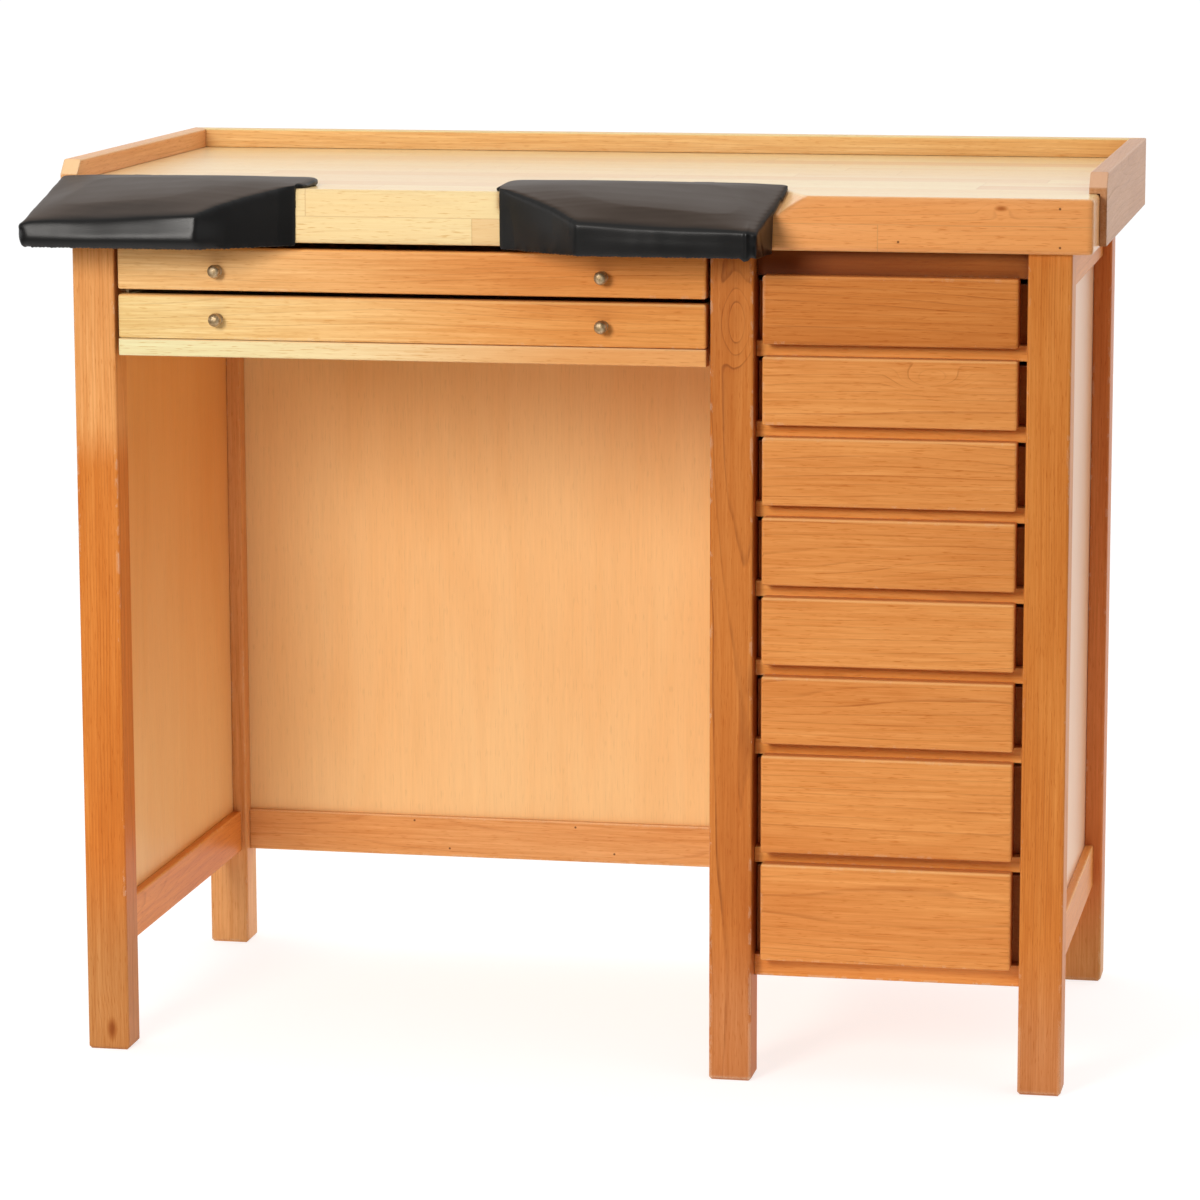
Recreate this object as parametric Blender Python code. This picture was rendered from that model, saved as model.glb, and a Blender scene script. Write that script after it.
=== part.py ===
"""A watchmaker's bench: a framed base with six legs and three plywood sides, a thick laminated worktop
inside a low gallery, two padded armrests let into its front edge, two apron drawers over the kneehole
and a pedestal of eight drawers on the right. X is to the right, Y to the back, Z up, in metres."""

import math

import bmesh
import bpy
from mathutils import Matrix, Vector

# Clearances
FIT = 0.0003
RUNNING_FIT = 0.0004
TRAY_SIDE_PLAY = 0.0012
TRAY_HEADROOM = 0.006
TRAY_BACK_PLAY = 0.018
APRON_PLAY = 0.004
LAP_TO_GALLERY = 0.003

# Frame
LEG_WIDTH = 0.045
LEG_DEPTH = 0.042
LEG_EASE = 0.0022
FOOT_CHAMFER = 0.003
KNEEHOLE_WIDTH = 0.634
PEDESTAL_WIDTH = 0.280
FRAME_DEPTH = 0.529
RAIL_FLOOR = 0.111
RAIL_HEIGHT = 0.0475
SIDE_RAIL_THICKNESS = 0.028
SIDE_RAIL_INSET = 0.0105
BACK_RAIL_THICKNESS = 0.020
BACK_RAIL_SETBACK = 0.0145
PANEL_THICKNESS = 0.0085
PANEL_TONGUE = 0.008
TENON_THICKNESS = 0.010
TENON_LENGTH = 0.014
TENON_SHOULDER = 0.012
RAIL_EASE = 0.0015

# Pedestal drawers, counted from the top
LOW_DRAWERS = 6
TALL_DRAWERS = 2
LOW_FRONT = 0.0708
TALL_FRONT = 0.103
FRONT_SIDE_GAP = 0.009
FRONT_THICKNESS = 0.019
FRONT_GAP = 0.0125
FRONT_LAP = 0.0018
FRONT_EASE = 0.0025
BOTTOM_BOARD_SHOW = 0.0204
TOP_RAIL_SHOW = 0.0263
TOP_RAIL_DEPTH = 0.020
TOP_RAIL_SHOULDER = 0.006
TOP_RAIL_TENON = 0.010
TRAY_WALL = 0.010
TRAY_BOTTOM = 0.006
TRAY_SHOULDER = 0.010
TRAY_INSET = 0.001

# Apron drawers over the kneehole
APRON_TOP_GAP = 0.0077
UPPER_APRON = 0.0445
APRON_GAP = 0.0052
LOWER_APRON = 0.0465
BASE_STRIP = 0.018
APRON_THICKNESS = 0.016
APRON_BASE = 0.009
APRON_LEDGE = 0.010
LEDGE_THICKNESS = 0.007
WEB_PROUD = 0.0035
RUNNER_REBATE = 0.004
KNOB_SPACING = 0.410
KNOB_DROP = 0.001
KNOB_HEAD = 0.0140
KNOB_ROSE = 0.0118
KNOB_NECK = 0.0064
KNOB_REACH = 0.0165
KNOB_SPIGOT = 0.0048
SPIGOT_LENGTH = 0.010

# Worktop and gallery
WORKTOP_THICKNESS = 0.056
WORKTOP_EASE = 0.0035
TOP_SIDE_OVERHANG = 0.0287
TOP_FRONT_OVERHANG = 0.012
TOP_BACK_OVERHANG = 0.046
GALLERY_THICKNESS = 0.0183
GALLERY_SKIRT = 0.0075
GALLERY_RISE = 0.0216
GALLERY_LIFT = 0.003
GALLERY_CHAMFER = 0.015
GALLERY_EASE = 0.0015

# Armrests
ARMREST_REACH = 0.070
ARMREST_LAP = 0.066
ARMREST_PAST_KNEEHOLE = 0.067
ARMREST_FRONT_WIDTH = 0.186
LEFT_ARMREST_WIDTH = 0.268
RIGHT_ARMREST_WIDTH = 0.284
ARMREST_SKEW = 0.08
LAP_TUCK = 0.006
LAP_CORNER = 0.030
BEVEL_DROP = 0.020
BEVEL_RUNOUT = 0.034
PAD_SKIRT = 0.005
PAD_BACK = 0.0060
PAD_OUTER_FRONT = 0.0115
PAD_INNER_FRONT = 0.0195
PAD_INNER_CROWN = 0.0120
PAD_CROWN = 0.003
PAD_ROLL = 0.0025
PAD_ROLL_WIDTH = 0.0045
PAD_DRAW_IN = 0.002
PAD_WRAP = 0.003

# Places that follow from the sizes
FRAME_WIDTH = 3 * LEG_WIDTH + KNEEHOLE_WIDTH + PEDESTAL_WIDTH
LEFT = -FRAME_WIDTH / 2
RIGHT = FRAME_WIDTH / 2
KNEE_LEFT = LEFT + LEG_WIDTH
KNEE_RIGHT = KNEE_LEFT + KNEEHOLE_WIDTH
KNEE_CENTRE = (KNEE_LEFT + KNEE_RIGHT) / 2
BAY_LEFT = KNEE_RIGHT + LEG_WIDTH
BAY_RIGHT = BAY_LEFT + PEDESTAL_WIDTH
BAY_CENTRE = (BAY_LEFT + BAY_RIGHT) / 2
FRONT_WIDTH = PEDESTAL_WIDTH - 2 * FRONT_SIDE_GAP
DEPTH = ARMREST_REACH + TOP_FRONT_OVERHANG + FRAME_DEPTH + TOP_BACK_OVERHANG
FRONT = -DEPTH / 2 + ARMREST_REACH + TOP_FRONT_OVERHANG
FRONT_LEG_BACK = FRONT + LEG_DEPTH
REAR = FRONT + FRAME_DEPTH
REAR_LEG_FRONT = REAR - LEG_DEPTH
BANK_BOTTOM = RAIL_FLOOR + BOTTOM_BOARD_SHOW
BANK_FRONTS = LOW_DRAWERS * LOW_FRONT + TALL_DRAWERS * TALL_FRONT
BANK_TOP = BANK_BOTTOM + BANK_FRONTS + (LOW_DRAWERS + TALL_DRAWERS - 1) * FRONT_GAP
LEG_TOP = BANK_TOP + TOP_RAIL_SHOW
RAIL_TOP = RAIL_FLOOR + RAIL_HEIGHT
TOP_RAIL_BOTTOM = LEG_TOP - RAIL_HEIGHT
UNDERSIDE = LEG_TOP + FIT
SURFACE = UNDERSIDE + WORKTOP_THICKNESS
GALLERY_OUTER = FRAME_WIDTH / 2 + TOP_SIDE_OVERHANG
GALLERY_BACK = REAR + TOP_BACK_OVERHANG
WORKTOP_SIDE = GALLERY_OUTER - GALLERY_SKIRT
WORKTOP_FRONT = FRONT - TOP_FRONT_OVERHANG
WORKTOP_BACK = GALLERY_BACK - GALLERY_SKIRT
LAP_BACK = WORKTOP_FRONT + ARMREST_LAP
GALLERY_FRONT = LAP_BACK + LAP_TO_GALLERY
RECESS = FRONT + FRONT_THICKNESS + FIT
TRAY_BACK = REAR_LEG_FRONT - TRAY_BACK_PLAY
SHOULDER = FRONT_LEG_BACK - TRAY_SHOULDER
SIDE_PANEL_CENTRE = SIDE_RAIL_INSET + SIDE_RAIL_THICKNESS / 2
BACK_RAIL_FRONT = REAR_LEG_FRONT + BACK_RAIL_SETBACK
BACK_PANEL_CENTRE = BACK_RAIL_FRONT + BACK_RAIL_THICKNESS / 2
INNER_PANEL_CENTRE = KNEE_RIGHT + LEG_WIDTH / 2

for old in list(bpy.data.objects):
    bpy.data.objects.remove(old, do_unlink=True)


# Helpers
def finish(name, colour, roughness, metallic=0.0):
    """A plain material in the piece's own colour."""
    made = bpy.data.materials.new(name)
    made.use_nodes = True
    shader = made.node_tree.nodes["Principled BSDF"]
    shader.inputs["Base Color"].default_value = (*colour, 1.0)
    shader.inputs["Roughness"].default_value = roughness
    shader.inputs["Metallic"].default_value = metallic
    made.diffuse_color = (*colour, 1.0)
    return made


def block(low, high):
    """A box between two corners."""
    low = Vector(low)
    high = Vector(high)
    size = high - low
    shape = bmesh.new()
    place = Matrix.Translation((low + high) / 2) @ Matrix.Diagonal((*size, 1.0))
    bmesh.ops.create_cube(shape, size=1.0, matrix=place)
    return shape


def prism(outline, axis, start, stop):
    """An outline in the plane across an axis, drawn out along that axis."""
    shape = bmesh.new()
    corners = []
    for a, b in outline:
        point = {"X": (start, a, b), "Y": (a, start, b), "Z": (a, b, start)}[axis]
        corners.append(shape.verts.new(point))
    face = shape.faces.new(corners)
    drawn = bmesh.ops.extrude_face_region(shape, geom=[face])
    moved = [item for item in drawn["geom"] if isinstance(item, bmesh.types.BMVert)]
    step = Vector([stop - start if letter == axis else 0.0 for letter in "XYZ"])
    bmesh.ops.translate(shape, verts=moved, vec=step)
    bmesh.ops.recalc_face_normals(shape, faces=shape.faces[:])
    return shape


def ease(shape, width, wanted, segments=2):
    """Rounds over the edges that the test accepts."""
    edges = [edge for edge in shape.edges if wanted(edge)]
    bmesh.ops.bevel(
        shape, geom=edges, offset=width, segments=segments, profile=0.5, affect="EDGES"
    )


def runs_along(axis):
    """A test for edges that lie along an axis."""
    index = "XYZ".index(axis)

    def test(edge):
        run = edge.verts[1].co - edge.verts[0].co
        return abs(run[index]) > 0.99 * run.length

    return test


def slice_off(shape, point, outward):
    """Cuts away what lies beyond a plane and closes the cut."""
    everything = shape.verts[:] + shape.edges[:] + shape.faces[:]
    cut = bmesh.ops.bisect_plane(
        shape, geom=everything, dist=1e-6, plane_co=point, plane_no=outward, clear_outer=True
    )
    rim = [item for item in cut["geom_cut"] if isinstance(item, bmesh.types.BMEdge)]
    bmesh.ops.holes_fill(shape, edges=rim, sides=0)
    bmesh.ops.recalc_face_normals(shape, faces=shape.faces[:])


def grow_tenon(shape, axis, sign, low, high, length):
    """Grows a stub tenon of the given section out of a rail's end."""
    index = "XYZ".index(axis)
    end = max(shape.faces, key=lambda face: sign * face.calc_center_median()[index])
    middle = end.calc_center_median()
    bmesh.ops.inset_region(shape, faces=[end], thickness=0.0005)
    for vert in end.verts:
        for other in range(3):
            if other != index:
                vert.co[other] = low[other] if vert.co[other] < middle[other] else high[other]
    bmesh.ops.remove_doubles(shape, verts=end.verts[:], dist=1e-6)
    root = (Vector(low) + Vector(high)) / 2
    root[index] = middle[index]
    end = min(shape.faces, key=lambda face: (face.calc_center_median() - root).length)
    drawn = bmesh.ops.extrude_discrete_faces(shape, faces=[end])
    step = Vector((0.0, 0.0, 0.0))
    step[index] = sign * length
    bmesh.ops.translate(shape, verts=drawn["faces"][0].verts[:], vec=step)
    bmesh.ops.recalc_face_normals(shape, faces=shape.faces[:])


def solid(name, shape, material, origin, parent=None, smooth=False):
    """Makes a piece from a shape in world places, with its origin where it is fixed or guided."""
    origin = Vector(origin)
    bmesh.ops.translate(shape, verts=shape.verts[:], vec=-origin)
    mesh = bpy.data.meshes.new(name)
    shape.to_mesh(mesh)
    shape.free()
    mesh.materials.append(material)
    made = bpy.data.objects.new(name, mesh)
    bpy.context.scene.collection.objects.link(made)
    made.location = origin
    if parent is not None:
        made.parent = parent
        made.location = origin - parent.location
    if smooth:
        mesh.shade_smooth()
        mesh.set_sharp_from_angle(angle=math.radians(40))
    return made


def cutter(name, shape):
    """A hidden shape that other pieces are cut by."""
    mesh = bpy.data.meshes.new(name)
    shape.to_mesh(mesh)
    shape.free()
    made = bpy.data.objects.new(name, mesh)
    bpy.context.scene.collection.objects.link(made)
    made.hide_render = True
    made.display_type = "WIRE"
    return made


def cut(piece, tool):
    """Takes the tool's shape out of the piece."""
    change = piece.modifiers.new(tool.name, "BOOLEAN")
    change.operation = "DIFFERENCE"
    change.solver = "EXACT"
    change.object = tool


def marker(name, place):
    """An empty that a moving group hangs on."""
    made = bpy.data.objects.new(name, None)
    made.empty_display_size = 0.03
    made.location = place
    bpy.context.scene.collection.objects.link(made)
    return made


def grown(low, high, margin):
    """A box grown by a margin on every side."""
    low = Vector(low) - Vector((margin, margin, margin))
    high = Vector(high) + Vector((margin, margin, margin))
    return block(low, high)


ALDER = finish("alder", (0.62, 0.30, 0.115), 0.42)
DRAWER_ALDER = finish("drawer_alder", (0.56, 0.26, 0.09), 0.42)
MAPLE = finish("maple_top", (0.83, 0.66, 0.43), 0.40)
BIRCH_PLY = finish("birch_ply", (0.70, 0.42, 0.21), 0.48)
PALE_WOOD = finish("pale_wood", (0.72, 0.47, 0.24), 0.50)
LEATHERETTE = finish("leatherette", (0.018, 0.016, 0.015), 0.45)
BRONZE = finish("bronze", (0.42, 0.27, 0.14), 0.32, 1.0)

bench = marker("bench", (0.0, 0.0, 0.0))


# Legs: square posts, long edges eased and the feet chamfered
def leg(name, x, y):
    shape = block((x, y, 0.0), (x + LEG_WIDTH, y + LEG_DEPTH, LEG_TOP))
    ease(shape, LEG_EASE, runs_along("Z"))
    foot = [edge for edge in shape.edges if max(vert.co.z for vert in edge.verts) < 1e-6]
    bmesh.ops.bevel(shape, geom=foot, offset=FOOT_CHAMFER, segments=1, affect="EDGES")
    return solid(name, shape, ALDER, (x + LEG_WIDTH / 2, y + LEG_DEPTH / 2, 0.0), bench)


left_front_leg = leg("left_front_leg", LEFT, FRONT)
left_rear_leg = leg("left_rear_leg", LEFT, REAR_LEG_FRONT)
middle_front_leg = leg("middle_front_leg", KNEE_RIGHT, FRONT)
middle_rear_leg = leg("middle_rear_leg", KNEE_RIGHT, REAR_LEG_FRONT)
right_front_leg = leg("right_front_leg", BAY_RIGHT, FRONT)
right_rear_leg = leg("right_rear_leg", BAY_RIGHT, REAR_LEG_FRONT)


# Rails: long edges eased, a stub tenon at each end let into the legs
def rail(name, axis, low, high, tenon_low, tenon_high, length, posts):
    index = "XYZ".index(axis)
    low = Vector(low)
    high = Vector(high)
    shape = block(low, high)
    ease(shape, RAIL_EASE, runs_along(axis))
    grow_tenon(shape, axis, -1, tenon_low, tenon_high, length)
    grow_tenon(shape, axis, 1, tenon_low, tenon_high, length)
    mortise_low = Vector(tenon_low)
    mortise_high = Vector(tenon_high)
    mortise_low[index] = low[index] - length
    mortise_high[index] = high[index] + length
    tool = cutter(name + "_mortise", grown(mortise_low, mortise_high, FIT))
    for post in posts:
        cut(post, tool)
    return solid(name, shape, ALDER, (low + high) / 2, bench)


def side_rail(name, inner, outward, bottom, posts):
    """A rail from front leg to rear leg, its outer face set in from the legs' outer faces."""
    centre = inner - outward * SIDE_PANEL_CENTRE
    half = SIDE_RAIL_THICKNESS / 2
    low = (centre - half, FRONT_LEG_BACK + FIT, bottom)
    high = (centre + half, REAR_LEG_FRONT - FIT, bottom + RAIL_HEIGHT)
    thin = TENON_THICKNESS / 2
    tenon_low = (centre - thin, 0.0, bottom + TENON_SHOULDER)
    tenon_high = (centre + thin, 0.0, bottom + RAIL_HEIGHT - TENON_SHOULDER)
    return rail(name, "Y", low, high, tenon_low, tenon_high, TENON_LENGTH, posts)


def back_rail(name, bottom):
    """A rail from the left rear leg to the right one, through the middle rear leg."""
    low = (KNEE_LEFT + FIT, BACK_RAIL_FRONT, bottom)
    high = (BAY_RIGHT - FIT, BACK_RAIL_FRONT + BACK_RAIL_THICKNESS, bottom + RAIL_HEIGHT)
    thin = TENON_THICKNESS / 2
    tenon_low = (0.0, BACK_PANEL_CENTRE - thin, bottom + TENON_SHOULDER)
    tenon_high = (0.0, BACK_PANEL_CENTRE + thin, bottom + RAIL_HEIGHT - TENON_SHOULDER)
    posts = (left_rear_leg, right_rear_leg)
    made = rail(name, "X", low, high, tenon_low, tenon_high, TENON_LENGTH, posts)
    cut(middle_rear_leg, cutter(name + "_passage", grown(low, high, FIT)))
    return made


left_posts = (left_front_leg, left_rear_leg)
right_posts = (right_front_leg, right_rear_leg)
left_bottom_rail = side_rail("left_bottom_rail", LEFT, -1, RAIL_FLOOR, left_posts)
left_top_rail = side_rail("left_top_rail", LEFT, -1, TOP_RAIL_BOTTOM, left_posts)
right_bottom_rail = side_rail("right_bottom_rail", RIGHT, 1, RAIL_FLOOR, right_posts)
right_top_rail = side_rail("right_top_rail", RIGHT, 1, TOP_RAIL_BOTTOM, right_posts)
back_bottom_rail = back_rail("back_bottom_rail", RAIL_FLOOR)
back_top_rail = back_rail("back_top_rail", TOP_RAIL_BOTTOM)


# Panels: plywood sheets whose edges stand in grooves of the posts and rails round them
def panel(name, low, high, holders):
    low = Vector(low)
    high = Vector(high)
    tool = cutter(name + "_groove", grown(low, high, FIT))
    for holder in holders:
        cut(holder, tool)
    return solid(name, block(low, high), BIRCH_PLY, (low + high) / 2, bench)


def side_panel(name, centre, bottom, top, holders):
    half = PANEL_THICKNESS / 2
    low = (centre - half, FRONT_LEG_BACK - PANEL_TONGUE, bottom)
    high = (centre + half, REAR_LEG_FRONT + PANEL_TONGUE, top)
    return panel(name, low, high, holders)


def back_panel(name, left, right, holders):
    half = PANEL_THICKNESS / 2
    low = (left - PANEL_TONGUE, BACK_PANEL_CENTRE - half, RAIL_TOP - PANEL_TONGUE)
    high = (right + PANEL_TONGUE, BACK_PANEL_CENTRE + half, TOP_RAIL_BOTTOM + PANEL_TONGUE)
    return panel(name, low, high, holders)


framed_low = RAIL_TOP - PANEL_TONGUE
framed_high = TOP_RAIL_BOTTOM + PANEL_TONGUE
left_frame = (*left_posts, left_bottom_rail, left_top_rail)
right_frame = (*right_posts, right_bottom_rail, right_top_rail)
side_panel("left_panel", LEFT + SIDE_PANEL_CENTRE, framed_low, framed_high, left_frame)
side_panel("right_panel", RIGHT - SIDE_PANEL_CENTRE, framed_low, framed_high, right_frame)
middle_posts = (middle_front_leg, middle_rear_leg)
side_panel("pedestal_inner_panel", INNER_PANEL_CENTRE, RAIL_FLOOR, LEG_TOP, middle_posts)
kneehole_frame = (left_rear_leg, middle_rear_leg, back_bottom_rail, back_top_rail)
back_panel("kneehole_back_panel", KNEE_LEFT, KNEE_RIGHT, kneehole_frame)
pedestal_frame = (middle_rear_leg, right_rear_leg, back_bottom_rail, back_top_rail)
back_panel("pedestal_back_panel", BAY_LEFT, BAY_RIGHT, pedestal_frame)

# Rail over the top drawer, set back behind the drawer fronts
rail_low = (BAY_LEFT + FIT, RECESS, BANK_TOP - FRONT_LAP)
rail_high = (BAY_RIGHT - FIT, RECESS + TOP_RAIL_DEPTH, LEG_TOP)
tenon_front = RECESS + (TOP_RAIL_DEPTH - TENON_THICKNESS) / 2
tenon_low = (0.0, tenon_front, BANK_TOP - FRONT_LAP + TOP_RAIL_SHOULDER)
tenon_high = (0.0, tenon_front + TENON_THICKNESS, LEG_TOP - TOP_RAIL_SHOULDER)
rail(
    "pedestal_top_rail", "X", rail_low, rail_high, tenon_low, tenon_high, TOP_RAIL_TENON,
    (middle_front_leg, right_front_leg),
)


# Boards between the drawers, notched round the four legs; their front edges show between the fronts
def shelf(name, bottom, top, right_side):
    left_side = INNER_PANEL_CENTRE + PANEL_THICKNESS / 2 + FIT
    back = BACK_PANEL_CENTRE - PANEL_THICKNESS / 2 - FIT
    if right_side < RIGHT - SIDE_PANEL_CENTRE - PANEL_THICKNESS / 2 - FIT:
        back = BACK_RAIL_FRONT - FIT
    half = [
        (BAY_RIGHT - FIT, RECESS),
        (BAY_RIGHT - FIT, FRONT_LEG_BACK + FIT),
        (right_side, FRONT_LEG_BACK + FIT),
        (right_side, REAR_LEG_FRONT - FIT),
        (BAY_RIGHT - FIT, REAR_LEG_FRONT - FIT),
        (BAY_RIGHT - FIT, back),
    ]
    other = [
        (BAY_LEFT + FIT, back),
        (BAY_LEFT + FIT, REAR_LEG_FRONT - FIT),
        (left_side, REAR_LEG_FRONT - FIT),
        (left_side, FRONT_LEG_BACK + FIT),
        (BAY_LEFT + FIT, FRONT_LEG_BACK + FIT),
        (BAY_LEFT + FIT, RECESS),
    ]
    shape = prism(half + other, "Z", bottom, top)
    return solid(name, shape, ALDER, (BAY_CENTRE, RECESS, bottom), bench)


panel_face = RIGHT - SIDE_PANEL_CENTRE - PANEL_THICKNESS / 2 - FIT
rail_face = RIGHT - SIDE_RAIL_INSET - SIDE_RAIL_THICKNESS - FIT
shelf("pedestal_bottom_board", RAIL_FLOOR, BANK_BOTTOM + FRONT_LAP, rail_face)


# Drawers: a front planted on an open tray
def tray_shape(low, high, wall, bottom):
    """A box hollowed from above."""
    shape = block(low, high)
    top = max(shape.faces, key=lambda face: face.calc_center_median().z)
    bmesh.ops.inset_region(shape, faces=[top], thickness=wall)
    drawn = bmesh.ops.extrude_discrete_faces(shape, faces=[top])
    drop = Vector((0.0, 0.0, low[2] + bottom - high[2]))
    bmesh.ops.translate(shape, verts=drawn["faces"][0].verts[:], vec=drop)
    bmesh.ops.recalc_face_normals(shape, faces=shape.faces[:])
    return shape


def shouldered_tray(name, bottom, top, parent):
    """A tray that is guided between the legs by its shoulders and is narrower than its front before them."""
    left = BAY_LEFT + TRAY_SIDE_PLAY
    right = BAY_RIGHT - TRAY_SIDE_PLAY
    neck_left = BAY_LEFT + FRONT_SIDE_GAP + TRAY_INSET
    neck_right = BAY_RIGHT - FRONT_SIDE_GAP - TRAY_INSET
    plan = [
        (neck_left, RECESS),
        (neck_right, RECESS),
        (neck_right, SHOULDER),
        (right, SHOULDER),
        (right, TRAY_BACK),
        (left, TRAY_BACK),
        (left, SHOULDER),
        (neck_left, SHOULDER),
    ]
    origin = (BAY_CENTRE, RECESS, (bottom + top) / 2)
    tray = solid(name, prism(plan, "Z", bottom, top), PALE_WOOD, origin, parent)
    inside = block(
        (left + TRAY_WALL, SHOULDER + TRAY_WALL, bottom + TRAY_BOTTOM),
        (right - TRAY_WALL, TRAY_BACK - TRAY_WALL, top + TRAY_HEADROOM),
    )
    cut(tray, cutter(name + "_hollow", inside))


def front_board(name, low, high, material, parent):
    shape = block(low, high)
    ease(shape, FRONT_EASE, lambda edge: True)
    middle = (Vector(low) + Vector(high)) / 2
    return solid(name, shape, material, (middle.x, low[1], middle.z), parent)


upper_edge = BANK_TOP
for number in range(1, LOW_DRAWERS + TALL_DRAWERS + 1):
    height = LOW_FRONT if number <= LOW_DRAWERS else TALL_FRONT
    lower_edge = upper_edge - height
    slide = marker(f"drawer_{number}_slide", (BAY_CENTRE, FRONT, (lower_edge + upper_edge) / 2))
    front_board(
        f"drawer_{number}_front",
        (BAY_CENTRE - FRONT_WIDTH / 2, FRONT, lower_edge),
        (BAY_CENTRE + FRONT_WIDTH / 2, FRONT + FRONT_THICKNESS, upper_edge),
        DRAWER_ALDER,
        slide,
    )
    tray_low = lower_edge + FRONT_LAP + RUNNING_FIT
    tray_high = upper_edge - FRONT_LAP - TRAY_HEADROOM
    shouldered_tray(f"drawer_{number}_tray", tray_low, tray_high, slide)
    if number < LOW_DRAWERS + TALL_DRAWERS:
        shelf_top = lower_edge + FRONT_LAP
        shelf_bottom = lower_edge - FRONT_GAP - FRONT_LAP
        shelf(f"drawer_divider_{number}", shelf_bottom, shelf_top, panel_face)
    upper_edge = lower_edge - FRONT_GAP

# Apron drawers: two wide trays on side runners, the lower one on a base that shows under its front
upper_top = LEG_TOP - APRON_TOP_GAP
upper_bottom = upper_top - UPPER_APRON
lower_top = upper_bottom - APRON_GAP
lower_bottom = lower_top - LOWER_APRON
strip_bottom = lower_bottom - BASE_STRIP
base_bottom = lower_bottom - APRON_BASE
web_left = KNEE_LEFT + WEB_PROUD
web_right = KNEE_RIGHT - WEB_PROUD
upper_ledge_top = upper_bottom + APRON_LEDGE / 2
upper_ledge_bottom = upper_ledge_top - LEDGE_THICKNESS
apron_left = KNEE_LEFT + APRON_PLAY
apron_right = KNEE_RIGHT - APRON_PLAY
apron_recess = FRONT + APRON_THICKNESS + FIT
upper_slide = marker("upper_apron_slide", (KNEE_CENTRE, FRONT, (upper_top + upper_bottom) / 2))
lower_slide = marker("lower_apron_slide", (KNEE_CENTRE, FRONT, (lower_top + lower_bottom) / 2))


def runner(name, web, ledge, panel_side, rail_side):
    """A web along the kneehole's side with two ledges, notched under the side's top rail."""
    ledge_bottom = base_bottom - FIT - LEDGE_THICKNESS
    step = TOP_RAIL_BOTTOM - FIT
    outline = [
        (panel_side, ledge_bottom),
        (ledge, ledge_bottom),
        (ledge, base_bottom - FIT),
        (web, base_bottom - FIT),
        (web, upper_ledge_bottom),
        (ledge, upper_ledge_bottom),
        (ledge, upper_ledge_top),
        (web, upper_ledge_top),
        (web, upper_top),
        (rail_side, upper_top),
        (rail_side, step),
        (panel_side, step),
    ]
    shape = prism(outline, "Y", FRONT_LEG_BACK + FIT, REAR_LEG_FRONT - FIT)
    return solid(name, shape, PALE_WOOD, (web, FRONT_LEG_BACK, ledge_bottom), bench)


left_face = LEFT + SIDE_PANEL_CENTRE + PANEL_THICKNESS / 2 + FIT
left_rail_face = LEFT + SIDE_RAIL_INSET + SIDE_RAIL_THICKNESS + FIT
inner_face = INNER_PANEL_CENTRE - PANEL_THICKNESS / 2 - FIT
runner("left_apron_runner", web_left, web_left + APRON_LEDGE, left_face, left_rail_face)
right_rail_face = inner_face - RUNNER_REBATE
runner("right_apron_runner", web_right, web_right - APRON_LEDGE, inner_face, right_rail_face)

upper_front = front_board(
    "upper_apron_front",
    (apron_left, FRONT, upper_bottom),
    (apron_right, FRONT + APRON_THICKNESS, upper_top),
    DRAWER_ALDER,
    upper_slide,
)
lower_front = front_board(
    "lower_apron_front",
    (apron_left, FRONT, lower_bottom + FIT),
    (apron_right, FRONT + APRON_THICKNESS, lower_top),
    DRAWER_ALDER,
    lower_slide,
)
tray_left = web_left + TRAY_SIDE_PLAY
tray_right = web_right - TRAY_SIDE_PLAY
upper_tray = tray_shape(
    (tray_left, apron_recess, upper_ledge_top + RUNNING_FIT),
    (tray_right, TRAY_BACK, upper_top - 2 * FRONT_EASE),
    TRAY_WALL,
    TRAY_BOTTOM,
)
solid("upper_apron_tray", upper_tray, PALE_WOOD, (KNEE_CENTRE, apron_recess, upper_bottom), upper_slide)
lower_tray = tray_shape(
    (tray_left, apron_recess, base_bottom),
    (tray_right, TRAY_BACK, upper_ledge_bottom - TRAY_HEADROOM),
    TRAY_WALL,
    APRON_BASE,
)
lower_base = solid(
    "lower_apron_tray", lower_tray, PALE_WOOD, (KNEE_CENTRE, apron_recess, lower_bottom), lower_slide
)
strip = block(
    (apron_left, FRONT, strip_bottom),
    (apron_right, apron_recess + TRAY_WALL / 2, lower_bottom),
)
ease(strip, FRONT_EASE / 2, lambda edge: max(vert.co.y for vert in edge.verts) < FRONT + 1e-6)
joined = lower_base.modifiers.new("base_strip", "BOOLEAN")
joined.operation = "UNION"
joined.solver = "EXACT"
joined.object = cutter("lower_apron_base_strip", strip)


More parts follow.
